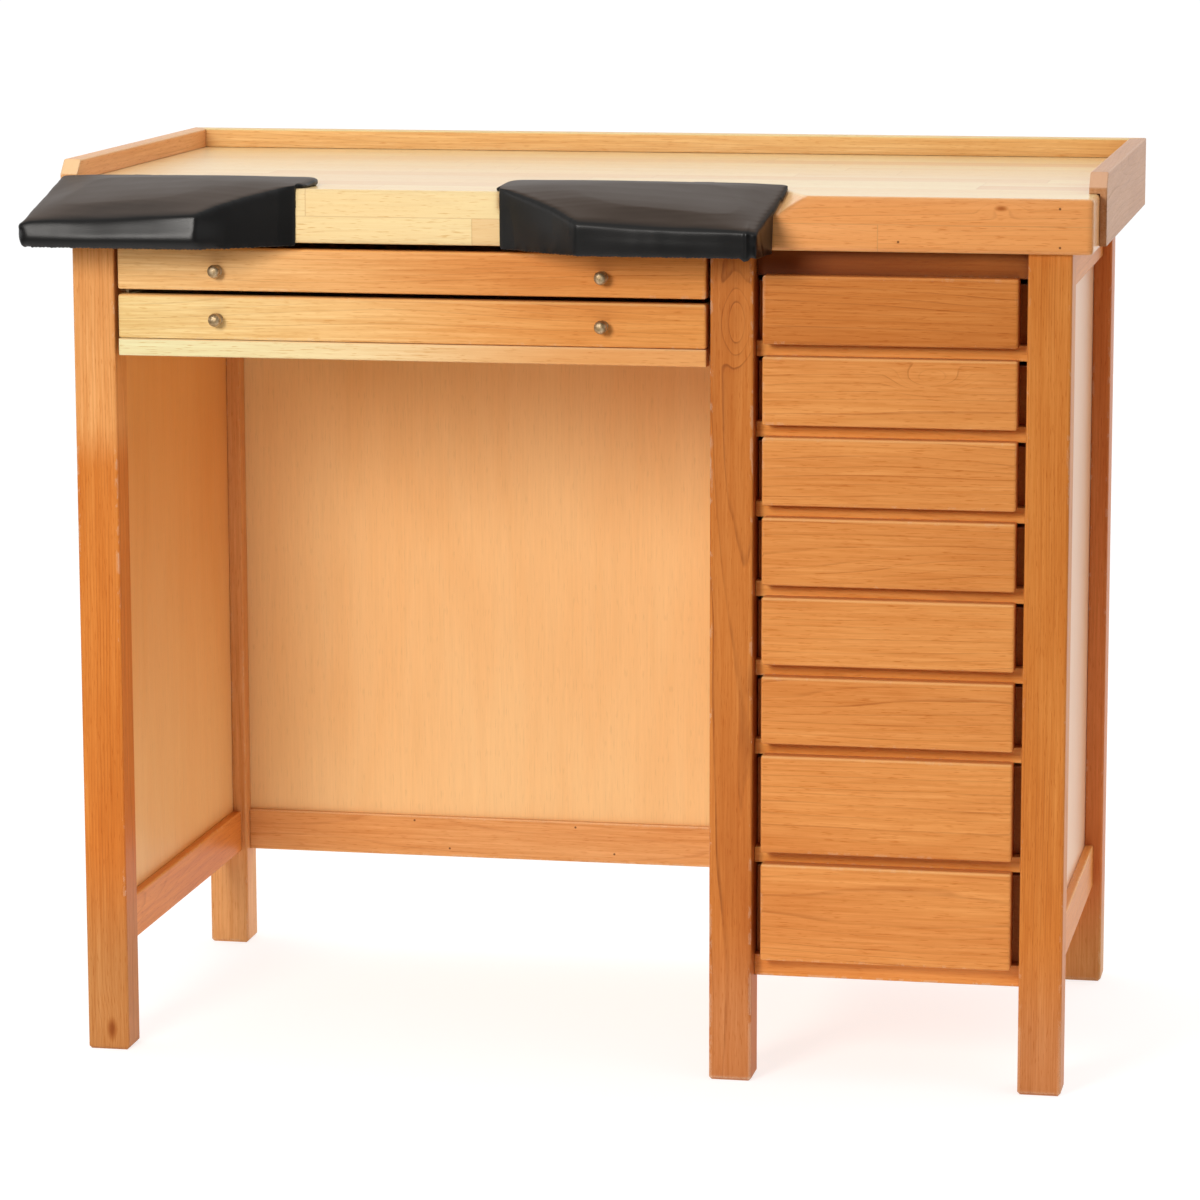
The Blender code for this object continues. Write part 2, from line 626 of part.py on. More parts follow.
# Knobs: turned in one with a spigot that stands in a hole of the front
def knob(name, x, z, front, parent):
    head = KNOB_HEAD / 2
    rose = KNOB_ROSE / 2
    neck = KNOB_NECK / 2
    spigot = KNOB_SPIGOT / 2
    rim = KNOB_REACH - 0.45 * KNOB_HEAD
    profile = [
        (0.0, -SPIGOT_LENGTH),
        (spigot, -SPIGOT_LENGTH),
        (spigot, FIT),
        (rose, FIT),
        (rose, 0.07 * KNOB_REACH),
        (0.75 * rose, 0.13 * KNOB_REACH),
        (neck, 0.20 * KNOB_REACH),
        (0.92 * neck, 0.34 * KNOB_REACH),
        (1.25 * neck, 0.42 * KNOB_REACH),
    ]
    for turn in (-28, 0, 25, 50, 72):
        angle = math.radians(turn)
        profile.append((head * math.cos(angle), rim + 0.45 * KNOB_HEAD * math.sin(angle)))
    profile.append((0.0, KNOB_REACH))
    shape = bmesh.new()
    line = [shape.verts.new((x + radius, FRONT - out, z)) for radius, out in profile]
    edges = [shape.edges.new(pair) for pair in zip(line, line[1:])]
    bmesh.ops.spin(
        shape, geom=line + edges, cent=(x, FRONT, z), axis=(0, 1, 0), angle=math.tau, steps=20
    )
    bmesh.ops.remove_doubles(shape, verts=shape.verts[:], dist=1e-5)
    bmesh.ops.recalc_face_normals(shape, faces=shape.faces[:])
    solid(name, shape, BRONZE, (x, FRONT, z), parent, smooth=True)
    hole = bmesh.new()
    turn = Matrix.Translation((x, FRONT, z)) @ Matrix.Rotation(math.pi / 2, 4, "X")
    bmesh.ops.create_cone(
        hole, cap_ends=True, segments=20, radius1=spigot + FIT, radius2=spigot + FIT,
        depth=2 * (SPIGOT_LENGTH + FIT), matrix=turn,
    )
    cut(front, cutter(name + "_hole", hole))


upper_knob_z = (upper_top + upper_bottom) / 2 - KNOB_DROP
lower_knob_z = (lower_top + lower_bottom) / 2 - KNOB_DROP
for word, side in (("left", -1), ("right", 1)):
    knob_x = KNEE_CENTRE + side * KNOB_SPACING / 2
    knob(f"upper_{word}_knob", knob_x, upper_knob_z, upper_front, upper_slide)
    knob(f"lower_{word}_knob", knob_x, lower_knob_z, lower_front, lower_slide)

# Worktop: a thick slab with eased edges; a long bevel under each armrest, swept out on the right
slab = block((-WORKTOP_SIDE, WORKTOP_FRONT, UNDERSIDE), (WORKTOP_SIDE, WORKTOP_BACK, SURFACE))
ease(slab, WORKTOP_EASE, lambda edge: True)
worktop = solid("worktop", slab, MAPLE, (0.0, 0.0, UNDERSIDE), bench)


def bevel_height(y):
    """The height of the bevel that the armrests lie on."""
    return SURFACE - (LAP_BACK - y) * BEVEL_DROP / ARMREST_LAP


def bevel_tool(name, side, stations):
    """A wedge along the front edge; each station is a distance from the kneehole's centre and a share of depth."""
    shape = bmesh.new()
    margin = 0.012
    rings = []
    for out, share in stations:
        lift = (1.0 - share) * BEVEL_DROP
        front = WORKTOP_FRONT - margin
        back = LAP_BACK - (1.0 - share) * ARMREST_LAP + margin
        corners = (
            (front, bevel_height(front) + lift),
            (back, bevel_height(back) + lift),
            (front, bevel_height(back) + lift),
        )
        x = KNEE_CENTRE + side * out
        rings.append([shape.verts.new((x, y, z)) for y, z in corners])
    shape.faces.new(rings[0])
    shape.faces.new(rings[-1])
    for first, second in zip(rings, rings[1:]):
        for index in range(3):
            after = (index + 1) % 3
            shape.faces.new((first[index], first[after], second[after], second[index]))
    bmesh.ops.recalc_face_normals(shape, faces=shape.faces[:])
    return cutter(name, shape)


pad_outer = KNEEHOLE_WIDTH / 2 + ARMREST_PAST_KNEEHOLE
pad_inner = {-1: pad_outer - LEFT_ARMREST_WIDTH, 1: pad_outer - RIGHT_ARMREST_WIDTH}
left_end = KNEE_CENTRE + WORKTOP_SIDE + 0.01
cut(worktop, bevel_tool("left_bevel", -1, [(pad_inner[-1] - FIT, 1.0), (left_end, 1.0)]))
sweep = [(pad_inner[1] - FIT, 1.0)]
sweep_start = pad_outer + ARMREST_SKEW * ARMREST_LAP + FIT
for step in range(9):
    along = step / 8
    sweep.append((sweep_start + BEVEL_RUNOUT * along, (1.0 - along) ** 1.5))
sweep.append((sweep_start + 1.06 * BEVEL_RUNOUT, -0.06))
cut(worktop, bevel_tool("right_bevel", 1, sweep))

# Gallery: three rails of stepped section, mitred at the back, the side rails chamfered at the front
skirt_bottom = UNDERSIDE + GALLERY_LIFT
gallery_top = SURFACE + GALLERY_RISE


def gallery_section(outer, inward):
    """The rail's section: full thickness above the surface, a thin skirt down the worktop's edge."""
    lip = outer + inward * GALLERY_THICKNESS
    skirt = outer + inward * (GALLERY_SKIRT - FIT)
    return [
        (outer, skirt_bottom),
        (outer, gallery_top),
        (lip, gallery_top),
        (lip, SURFACE + FIT),
        (skirt, SURFACE + FIT),
        (skirt, skirt_bottom),
    ]


def on_top(axis):
    """A test for the long edges along the top."""
    along = runs_along(axis)

    def test(edge):
        return along(edge) and min(vert.co.z for vert in edge.verts) > gallery_top - 1e-6

    return test


for word, side in (("left", -1), ("right", 1)):
    shape = prism(gallery_section(side * GALLERY_OUTER, -side), "Y", GALLERY_FRONT, GALLERY_BACK)
    ease(shape, GALLERY_EASE, on_top("Y"))
    nose = Vector((0.0, GALLERY_FRONT + GALLERY_CHAMFER, gallery_top))
    slice_off(shape, nose, Vector((0.0, -1.0, 1.0)))
    corner = Vector((side * GALLERY_OUTER, GALLERY_BACK - FIT, 0.0))
    slice_off(shape, corner, Vector((-side, 1.0, 0.0)))
    solid(f"gallery_{word}_rail", shape, MAPLE, (side * WORKTOP_SIDE, GALLERY_FRONT, SURFACE), bench)
shape = prism(gallery_section(GALLERY_BACK, -1), "X", -GALLERY_OUTER, GALLERY_OUTER)
ease(shape, GALLERY_EASE, on_top("X"))
for side in (-1, 1):
    slice_off(shape, Vector((side * GALLERY_OUTER, GALLERY_BACK, 0.0)), Vector((side, -1.0, 0.0)))
solid("gallery_back_rail", shape, MAPLE, (0.0, WORKTOP_BACK, SURFACE), bench)

# Armrests: a sloped wooden block on the worktop's front face under a padded leatherette cover
pad_front = WORKTOP_FRONT - ARMREST_REACH
front_inner = pad_outer - ARMREST_FRONT_WIDTH


def armrest_x(side, out, y):
    """The place of a point so far out from the kneehole's centre; the armrests stand slightly askew."""
    return KNEE_CENTRE + side * out + ARMREST_SKEW * (y - WORKTOP_FRONT)


def flare(side):
    """How fast the slanted inner face leaves the kneehole's centre towards the front."""
    return (front_inner - pad_inner[side]) / ARMREST_REACH


def cheek(side, y):
    """How far the slanted inner face stands from the kneehole's centre."""
    return pad_inner[side] + flare(side) * (WORKTOP_FRONT - y)


def armrest_block(side, margin, depth):
    """The block under the pad, or, with a margin, the hollow that it leaves in the pad."""
    back = WORKTOP_FRONT - FIT + margin
    front = pad_front + PAD_SKIRT - margin
    slant = (PAD_SKIRT - margin) * math.hypot(1.0, flare(side))
    end = pad_outer - PAD_SKIRT + margin
    outline = [
        (armrest_x(side, cheek(side, back) + slant, back), back),
        (armrest_x(side, cheek(side, front) + slant, front), front),
        (armrest_x(side, end, front), front),
        (armrest_x(side, end, back), back),
    ]
    shape = prism(outline, "Z", UNDERSIDE - depth, SURFACE)
    rise = Vector((0.0, -BEVEL_DROP, ARMREST_LAP))
    slice_off(shape, Vector((0.0, LAP_BACK, SURFACE + margin)), rise)
    return shape


def pad_rows(side):
    """The pad's cross rows from back to front: place, inner end."""
    lap_edge = pad_inner[side] - LAP_TUCK
    rows = []
    for degrees in (90, 66, 42, 20, 0):
        angle = math.radians(degrees)
        y = LAP_BACK - LAP_CORNER + LAP_CORNER * math.sin(angle)
        rows.append((y, lap_edge + LAP_CORNER - LAP_CORNER * math.cos(angle)))
    rows.append((WORKTOP_FRONT + LAP_TUCK, lap_edge))
    rows.append((WORKTOP_FRONT, pad_inner[side]))
    for share in (0.2, 0.45, 0.7):
        y = WORKTOP_FRONT - share * ARMREST_REACH
        rows.append((y, cheek(side, y)))
    for y in (pad_front + PAD_ROLL_WIDTH, pad_front):
        rows.append((y, cheek(side, y)))
    return rows


def pad_height(across, along):
    """The padded top, from the thicknesses at its edges and a low crown."""
    swell = 4.0 * along * (1.0 - along)
    inner = PAD_BACK + (PAD_INNER_FRONT - PAD_BACK) * along + PAD_INNER_CROWN * swell
    outer = PAD_BACK + (PAD_OUTER_FRONT - PAD_BACK) * along
    crown = PAD_CROWN * swell * 4.0 * across * (1.0 - across)
    return inner + (outer - inner) * across + crown


def armrest_pad(side):
    """The cover as a crowned cushion with rolled edges, drawn in towards the folds of its underside."""
    shape = bmesh.new()
    grid = []
    rows = pad_rows(side)
    for number, (y, inner) in enumerate(rows):
        width = pad_outer - inner
        roll = PAD_ROLL_WIDTH / width
        shares = (0.0, roll, 0.09, 0.22, 0.38, 0.55, 0.72, 0.88, 1.0 - roll, 1.0)
        line = []
        for place, across in enumerate(shares):
            along = (LAP_BACK - y) / (ARMREST_LAP + ARMREST_REACH)
            z = bevel_height(y) + pad_height(across, along)
            if number in (0, len(rows) - 1) or place in (0, len(shares) - 1):
                z -= PAD_ROLL
            line.append(shape.verts.new((armrest_x(side, inner + across * width, y), y, z)))
        grid.append(line)
    for first, second in zip(grid, grid[1:]):
        for index in range(len(first) - 1):
            shape.faces.new((first[index], first[index + 1], second[index + 1], second[index]))
    outer_rim = [line[-1] for line in grid[1:-1]]
    inner_rim = [line[0] for line in grid[-2:0:-1]]
    rim = grid[0] + outer_rim + grid[-1][::-1] + inner_rim
    foot = []
    for index, vert in enumerate(rim):
        along = rim[(index + 1) % len(rim)].co - rim[index - 1].co
        inward = Vector((-along.y, along.x, 0.0)).normalized() * -side
        low = vert.co + PAD_DRAW_IN * inward
        foot.append(shape.verts.new((low.x, low.y, UNDERSIDE - PAD_WRAP)))
    for index in range(len(rim)):
        after = (index + 1) % len(rim)
        shape.faces.new((rim[index], rim[after], foot[after], foot[index]))
    shape.faces.new(foot)
    bmesh.ops.recalc_face_normals(shape, faces=shape.faces[:])
    return shape


def between(side, near, far):
    """The two sides of a tool that spans part of an armrest."""
    return sorted((KNEE_CENTRE + side * near, KNEE_CENTRE + side * far))


for word, side in (("left", -1), ("right", 1)):
    origin = (KNEE_CENTRE + side * pad_outer, WORKTOP_FRONT, UNDERSIDE)
    solid(f"{word}_armrest_block", armrest_block(side, 0.0, 0.0), ALDER, origin, bench)
    pad = solid(f"{word}_armrest_pad", armrest_pad(side), LEATHERETTE, origin, bench, smooth=True)
    cut(pad, cutter(f"{word}_armrest_hollow", armrest_block(side, FIT, 0.01)))
    face = WORKTOP_FRONT - FIT
    beyond = LAP_BACK + 0.01
    lifted = FIT * math.hypot(1.0, BEVEL_DROP / ARMREST_LAP)
    under_lap = [
        (face, UNDERSIDE - 0.01),
        (face, bevel_height(face) + lifted),
        (beyond, bevel_height(beyond) + lifted),
        (beyond, UNDERSIDE - 0.01),
    ]
    low_x, high_x = between(side, pad_inner[side] - 0.001, pad_outer + 0.02)
    cut(pad, cutter(f"{word}_lap_bed", prism(under_lap, "X", low_x, high_x)))
    low_x, high_x = between(side, pad_inner[side] - 0.03, pad_inner[side])
    flap_bed = block((low_x, face, UNDERSIDE - 0.01), (high_x, beyond, SURFACE + FIT))
    cut(pad, cutter(f"{word}_flap_bed", flap_bed))
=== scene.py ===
"""The finish of a watchmaker's bench: lacquered wood, a laminated top, plywood sides, bronze knobs and
two padded armrests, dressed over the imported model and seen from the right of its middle."""

import math

import bmesh
import bpy
import numpy as np
from mathutils import Matrix, Vector


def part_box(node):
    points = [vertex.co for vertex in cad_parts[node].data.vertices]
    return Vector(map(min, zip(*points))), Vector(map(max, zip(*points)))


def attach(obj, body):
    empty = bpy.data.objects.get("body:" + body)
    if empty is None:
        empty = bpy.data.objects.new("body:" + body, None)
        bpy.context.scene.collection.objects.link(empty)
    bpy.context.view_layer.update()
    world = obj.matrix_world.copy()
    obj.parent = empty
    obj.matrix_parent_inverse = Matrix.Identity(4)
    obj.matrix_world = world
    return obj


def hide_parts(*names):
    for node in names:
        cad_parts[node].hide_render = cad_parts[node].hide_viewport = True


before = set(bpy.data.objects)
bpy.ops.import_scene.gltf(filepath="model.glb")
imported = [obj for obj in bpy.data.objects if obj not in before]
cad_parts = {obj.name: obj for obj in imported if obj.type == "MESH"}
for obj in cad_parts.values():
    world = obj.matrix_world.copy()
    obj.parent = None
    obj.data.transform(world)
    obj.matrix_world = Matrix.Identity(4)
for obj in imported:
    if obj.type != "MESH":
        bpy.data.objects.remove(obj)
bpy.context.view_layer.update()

# The view: a long lens, a little above the worktop and to the right of the bench's middle.
# The camera stands where the feet, drawer gaps and gallery corners fall as in the photograph.
camera_place = Vector((0.93926, -4.87730, 1.31676))
camera_right = Vector((0.981698, 0.190432, -0.002192))
camera_up = Vector((-0.030029, 0.166147, 0.985644))
camera_back = camera_right.cross(camera_up)
lens = bpy.data.cameras.new("view")
lens.lens = 138.19
lens.sensor_width = 36.0
camera = bpy.data.objects.new("view", lens)
bpy.context.scene.collection.objects.link(camera)
turned = Matrix((camera_right, camera_up, camera_back)).transposed()
camera.matrix_world = Matrix.Translation(camera_place) @ turned.to_4x4()
bpy.context.scene.camera = camera
bpy.context.scene.view_settings.view_transform = "Standard"

# The light: one broad soft lamp in front on the left, not far above the worktop, and a white room.
# The room is darker behind the viewer, so that gaps and dark leather facing that way stay dark.
lamp_direction = Vector((-0.28, -0.92, 0.33))
lamp_distance = 3.0
lamp_size = 1.0
lamp_power = 50.0
lamp_colour = (1.0, 0.965, 0.92)
room_bright_side = (0.30, 0.85, 0.43)
room_behind = 1.04
room_in_front = 0.07
room_on_left = 1.5
middle_of_bench = Vector((0.0, 0.0, 0.62))
lamp_data = bpy.data.lights.new("soft_lamp", "AREA")
lamp_data.shape = "DISK"
lamp_data.size = lamp_size
lamp_data.energy = lamp_power
lamp_data.color = lamp_colour
lamp = bpy.data.objects.new("soft_lamp", lamp_data)
bpy.context.scene.collection.objects.link(lamp)
lamp.location = middle_of_bench + lamp_distance * lamp_direction.normalized()
lamp.rotation_euler = lamp_direction.to_track_quat("Z", "Y").to_euler()


def feed(tree, made, inputs):
    """Feeds a shader node: an input given as a socket is linked, and any other value is set."""
    for key, value in inputs.items():
        if isinstance(value, bpy.types.NodeSocket):
            tree.links.new(value, made.inputs[key])
        else:
            made.inputs[key].default_value = value


def add(tree, kind, inputs=None, **settings):
    """Adds a shader node with its settings and inputs."""
    made = tree.nodes.new("ShaderNode" + kind)
    for name, value in settings.items():
        setattr(made, name, value)
    feed(tree, made, inputs or {})
    return made


def calc(tree, operation, first, second=0.0, third=0.0):
    """One step of arithmetic between values or sockets."""
    return add(tree, "Math", {0: first, 1: second, 2: third}, operation=operation).outputs[0]


def measure(tree, operation, first, second=(0.0, 0.0, 0.0)):
    """One number from one or two places: a length, a distance or a dot product."""
    return add(tree, "VectorMath", {0: first, 1: second}, operation=operation).outputs["Value"]


def part_of(tree, place, axis):
    """A place's distance along one axis."""
    return add(tree, "SeparateXYZ", {0: place}).outputs[axis]


def ranged(tree, value, low, high, start=0.0, stop=1.0):
    """Spreads a value smoothly from one range onto another."""
    limits = {0: value, 1: low, 2: high, 3: start, 4: stop}
    return add(tree, "MapRange", limits, interpolation_type="SMOOTHSTEP").outputs[0]


def seen_rays(tree):
    """A mask of the rays that show a surface straight to the eye."""
    path = add(tree, "LightPath").outputs
    return calc(tree, "MAXIMUM", path["Is Camera Ray"], path["Is Transmission Ray"])


room = bpy.data.worlds.new("pale_room")
room.use_nodes = True
bpy.context.scene.world = room
tree = room.node_tree
sky = tree.nodes["Background"]
sky.inputs["Color"].default_value = (1.0, 1.0, 1.0, 1.0)
look = add(tree, "TexCoord").outputs["Generated"]
towards = measure(tree, "DOT_PRODUCT", look, room_bright_side)
level = ranged(tree, towards, -0.45, 0.35, room_in_front, room_behind)
leftward = measure(tree, "DOT_PRODUCT", look, (-1.0, 0.0, 0.0))
level = calc(tree, "MAXIMUM", level, ranged(tree, leftward, 0.80, 1.0, 0.0, room_on_left))
strength = calc(tree, "MAXIMUM", level, seen_rays(tree))
tree.links.new(strength, sky.inputs["Strength"])

# The floor: a plain white sheet under the feet, which keeps a faint shadow of the bench.
# To the eye it glows a little, so that its far edge meets the white room without a line; the light it
# throws back up comes from the part near the bench and behind it.
floor_half = 6.0
floor_glow = 0.74
floor_bounce = 0.30
bounce_near = 0.7
bounce_far = 2.4
bounce_behind = 0.8
floor_grey = (0.40, 0.40, 0.40, 1.0)
floor_shape = bmesh.new()
bmesh.ops.create_grid(floor_shape, x_segments=8, y_segments=8, size=floor_half)
floor_mesh = bpy.data.meshes.new("floor")
floor_shape.to_mesh(floor_mesh)
floor_shape.free()
floor = bpy.data.objects.new("floor", floor_mesh)
bpy.context.scene.collection.objects.link(floor)
paper = bpy.data.materials.new("white_sheet")
paper.use_nodes = True
tree = paper.node_tree
tree.nodes.remove(tree.nodes["Principled BSDF"])
spot = add(tree, "TexCoord").outputs["Object"]
near = ranged(tree, measure(tree, "LENGTH", spot), bounce_near, bounce_far, 1.0, 0.0)
near = calc(tree, "MAXIMUM", near, ranged(tree, part_of(tree, spot, "Y"), 0.0, bounce_behind))
matt = add(tree, "BsdfDiffuse", {"Color": calc(tree, "MULTIPLY_ADD", near, 0.72, 0.08)})
lift = add(tree, "Emission", {"Color": calc(tree, "MULTIPLY", near, floor_bounce), "Strength": 1.0})
lit = add(tree, "AddShader", {0: matt.outputs[0], 1: lift.outputs[0]})
faint = add(tree, "BsdfDiffuse", {"Color": floor_grey})
glow = add(tree, "Emission", {"Color": (1.0, 1.0, 1.0, 1.0), "Strength": floor_glow})
bright = add(tree, "AddShader", {0: faint.outputs[0], 1: glow.outputs[0]})
sheet = add(tree, "MixShader", {0: seen_rays(tree), 1: lit.outputs[0], 2: bright.outputs[0]})
tree.links.new(sheet.outputs[0], tree.nodes["Material Output"].inputs["Surface"])
floor_mesh.materials.append(paper)

# Legs: six square posts of solid alder, planed, eased along their edges and lacquered to a satin.
# The outer ones have straight grain on the front, the middle one is sawn flat with an eye in it, and
# the lacquer is knocked along their edges.


def mixed(tree, share, first, second):
    """One colour over another."""
    return add(tree, "Mix", {0: share, 6: first, 7: second}, data_type="RGBA").outputs[2]


def moved(tree, operation, first, second):
    """One step of arithmetic between places or colours."""
    return add(tree, "VectorMath", {0: first, 1: second}, operation=operation).outputs[0]


def waves(tree, place, per_metre, detail=2.0, roughness=0.5):
    """Soft noise with so many waves to the metre in each direction."""
    scaled = moved(tree, "MULTIPLY", place, per_metre)
    settings = {"Vector": scaled, "Scale": 1.0, "Detail": detail, "Roughness": roughness}
    return add(tree, "TexNoise", settings)


def effect(name, inputs, outputs):
    """A shader node group with named sockets, with its two ends."""
    tree = bpy.data.node_groups.new(name, "ShaderNodeTree")
    for side, sockets in (("INPUT", inputs), ("OUTPUT", outputs)):
        for socket, kind in sockets.items():
            tree.interface.new_socket(socket, in_out=side, socket_type="NodeSocket" + kind)
    return tree, tree.nodes.new("NodeGroupInput").outputs, tree.nodes.new("NodeGroupOutput").inputs


def grown_wood():
    """Solid wood, in metres along its grain: rings round a pith, fibres, pores and changes of tone."""
    tree, given, result = effect(
        "grown_wood",
        {
            "Place": "Vector", "Seed": "Vector", "Pith": "Vector", "Ring Width": "Float",
            "Wander": "Float", "Eye Place": "Vector", "Eye Reach": "Float", "Eye Lift": "Float",
            "Eye Dark": "Float", "Pale": "Color", "Heart": "Color", "Late": "Color",
            "Ring Strength": "Float", "Fibre Strength": "Float", "Blotch": "Float",
        },
        {"Colour": "Color", "Roughness": "Float", "Height": "Float"},
    )
    place = given["Place"]
    seeded = moved(tree, "ADD", place, given["Seed"])
    slow = waves(tree, seeded, (1.5, 8.0, 8.0), 1.0).outputs[1]
    slow = moved(tree, "SUBTRACT", slow, (0.5, 0.5, 0.5))
    drift = add(tree, "VectorMath", {0: slow, "Scale": given["Wander"]}, operation="SCALE").outputs[0]
    from_pith = moved(tree, "ADD", moved(tree, "SUBTRACT", place, given["Pith"]), drift)
    across_grain = moved(tree, "MULTIPLY", from_pith, (0.0, 1.0, 1.0))
    radius = measure(tree, "LENGTH", across_grain)
    from_eye = moved(tree, "SUBTRACT", place, given["Eye Place"])
    from_eye = moved(tree, "MULTIPLY", from_eye, (0.42, 1.0, 1.0))
    eye_share = calc(tree, "DIVIDE", measure(tree, "LENGTH", from_eye), given["Eye Reach"])
    swell = ranged(tree, eye_share, 0.0, 1.0, 1.0, 0.0)
    radius = calc(tree, "MULTIPLY_ADD", swell, given["Eye Lift"], radius)
    uneven = calc(tree, "SUBTRACT", waves(tree, seeded, (3.0, 35.0, 35.0), 2.0).outputs[0], 0.5)
    count = calc(tree, "DIVIDE", radius, given["Ring Width"])
    phase = calc(tree, "MULTIPLY_ADD", uneven, 1.5, count)
    part = calc(tree, "FRACT", phase)
    line_end = ranged(tree, part, 0.95, 0.995, 1.0, 0.0)
    line = calc(tree, "MULTIPLY", ranged(tree, part, 0.80, 0.94), line_end)
    late = calc(tree, "MULTIPLY_ADD", line, 0.75, calc(tree, "MULTIPLY", part, 0.25))
    number = calc(tree, "FLOOR", phase)
    ring = add(tree, "TexWhiteNoise", {"W": number}, noise_dimensions="1D").outputs[0]
    rings = calc(tree, "MULTIPLY", late, calc(tree, "MULTIPLY_ADD", ring, 0.7, 0.3))
    broken = waves(tree, seeded, (11.0, 70.0, 70.0), 3.0, 0.6).outputs[0]
    rings = calc(tree, "MULTIPLY", rings, ranged(tree, broken, 0.36, 0.60, 0.35, 1.0))
    fibre = waves(tree, seeded, (5.0, 210.0, 210.0), 5.0, 0.68).outputs[0]
    fine = waves(tree, seeded, (20.0, 480.0, 480.0), 2.0).outputs[0]
    pores = ranged(tree, waves(tree, seeded, (65.0, 1000.0, 1000.0), 1.0).outputs[0], 0.60, 0.74)
    tone = waves(tree, seeded, (1.8, 11.0, 11.0), 3.0).outputs[0]
    heart = calc(tree, "MULTIPLY", ranged(tree, tone, 0.3, 0.7), given["Blotch"])
    colour = mixed(tree, heart, given["Pale"], given["Heart"])
    shade = calc(tree, "MULTIPLY", rings, given["Ring Strength"])
    knot = calc(tree, "MULTIPLY", ranged(tree, eye_share, 0.04, 0.30, 1.0, 0.0), given["Eye Dark"])
    colour = mixed(tree, calc(tree, "MAXIMUM", shade, knot), colour, given["Late"])
    fine = calc(tree, "MULTIPLY_ADD", fine, 0.5, -0.25)
    threads = calc(tree, "ADD", calc(tree, "SUBTRACT", fibre, 0.5), fine)
    bright = calc(tree, "MULTIPLY_ADD", threads, given["Fibre Strength"], 1.0)
    bright = calc(tree, "MULTIPLY_ADD", pores, -0.16, bright)
    bright = calc(tree, "MULTIPLY_ADD", knot, -0.35, bright)
    warm = add(tree, "CombineXYZ", {
        0: bright, 1: calc(tree, "POWER", bright, 2.0), 2: calc(tree, "POWER", bright, 3.4),
    }).outputs[0]
    tree.links.new(moved(tree, "MULTIPLY", colour, warm), result["Colour"])
    gloss = calc(tree, "MULTIPLY_ADD", fibre, 0.16, 0.30)
    tree.links.new(calc(tree, "MULTIPLY_ADD", rings, 0.05, gloss), result["Roughness"])
    relief = calc(tree, "MULTIPLY_ADD", pores, -0.8, calc(tree, "MULTIPLY", fibre, 0.5))
    tree.links.new(calc(tree, "MULTIPLY_ADD", rings, 0.4, relief), result["Height"])
    return tree


def eased_edge():
    """Finds a piece's edges, and rounds the light over them."""
    sockets = {"Edge": "Float", "Normal": "Vector"}
    tree, given, result = effect("eased_edge", {"Reach": "Float"}, sockets)
    rounded = add(tree, "Bevel", {"Radius": given["Reach"]}, samples=4).outputs[0]
    flat = add(tree, "NewGeometry").outputs["Normal"]
    same = measure(tree, "DOT_PRODUCT", rounded, flat)
    tree.links.new(ranged(tree, same, 0.985, 0.80), result["Edge"])
    tree.links.new(rounded, result["Normal"])
    return tree


def scuffed():
    """Pale knocks in the lacquer along the edges, thickest about one height."""
    tree, given, result = effect(
        "scuffed",
        {"Place": "Vector", "Edge": "Float", "Amount": "Float", "Height": "Float"},
        {"Mask": "Float"},
    )
    knocks = waves(tree, given["Place"], (120.0, 120.0, 60.0), 3.0, 0.65).outputs[0]
    groups = waves(tree, given["Place"], (5.0, 5.0, 5.0), 1.0).outputs[0]
    both = calc(tree, "MULTIPLY_ADD", groups, 0.55, knocks)
    height = part_of(tree, given["Place"], "Z")
    above = calc(tree, "ABSOLUTE", calc(tree, "SUBTRACT", height, given["Height"]))
    both = calc(tree, "ADD", both, ranged(tree, above, 0.02, 0.14, 0.17, 0.0))
    chips = ranged(tree, both, 0.86, 0.93)
    mask = calc(tree, "MULTIPLY", chips, given["Edge"])
    tree.links.new(calc(tree, "MULTIPLY", mask, given["Amount"]), result["Mask"])
    return tree


def painted_corner_shade():
    """Painted shade that darkens a surface deep in a gap or under a ledge."""
    tree, given, result = effect("painted_corner_shade", {"Reach": "Float"}, {"Shade": "Float"})
    opening = add(tree, "AmbientOcclusion", {"Distance": given["Reach"]}, samples=6).outputs["AO"]
    tree.links.new(ranged(tree, opening, 0.15, 0.90, 1.0, 0.0), result["Shade"])
    return tree


wood_group = grown_wood()
edge_group = eased_edge()
scuff_group = scuffed()
painted_shade_group = painted_corner_shade()


def use(tree, group, inputs):
    """Places an effect in a material with its own values."""
    made = tree.nodes.new("ShaderNodeGroup")
    made.node_tree = group
    feed(tree, made, inputs)
    return made.outputs


def bare_material(name):
    """A new material, its tree and its shader."""
    made = bpy.data.materials.new(name)
    made.use_nodes = True
    return made, made.node_tree, made.node_tree.nodes["Principled BSDF"]


def along_board(tree, node, axes):
    """A place from a node's middle: along the grain, across the face and through the thickness."""
    low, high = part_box(node)
    where = add(tree, "TexCoord").outputs["Object"]
    parts = add(tree, "SeparateXYZ", {0: moved(tree, "SUBTRACT", where, (low + high) / 2)}).outputs
    board = add(tree, "CombineXYZ", {place: parts[axis] for place, axis in enumerate(axes)}).outputs[0]
    return where, board


def surfaced(tree, shader, colour, roughness, relief):
    """Feeds a surface's colour, roughness and relief to its shader."""
    tree.links.new(colour, shader.inputs["Base Color"])
    tree.links.new(roughness, shader.inputs["Roughness"])
    tree.links.new(add(tree, "Bump", relief).outputs[0], shader.inputs["Normal"])


def lacquer(shader, weight, roughness=0.25):
    """Satin lacquer over wood."""
    shader.inputs["Coat Weight"].default_value = weight
    shader.inputs["Coat Roughness"].default_value = roughness
    shader.inputs["Specular IOR Level"].default_value = 0.12


def specked(tree, colour, where, specks, size=0.0016):
    """Puts small dark holes into a colour at given places."""
    for speck in specks:
        away = measure(tree, "DISTANCE", where, speck)
        colour = mixed(tree, ranged(tree, away, 0.5 * size, size, 0.85, 0.0), colour, SHADE_AND_GRIME)
    return colour


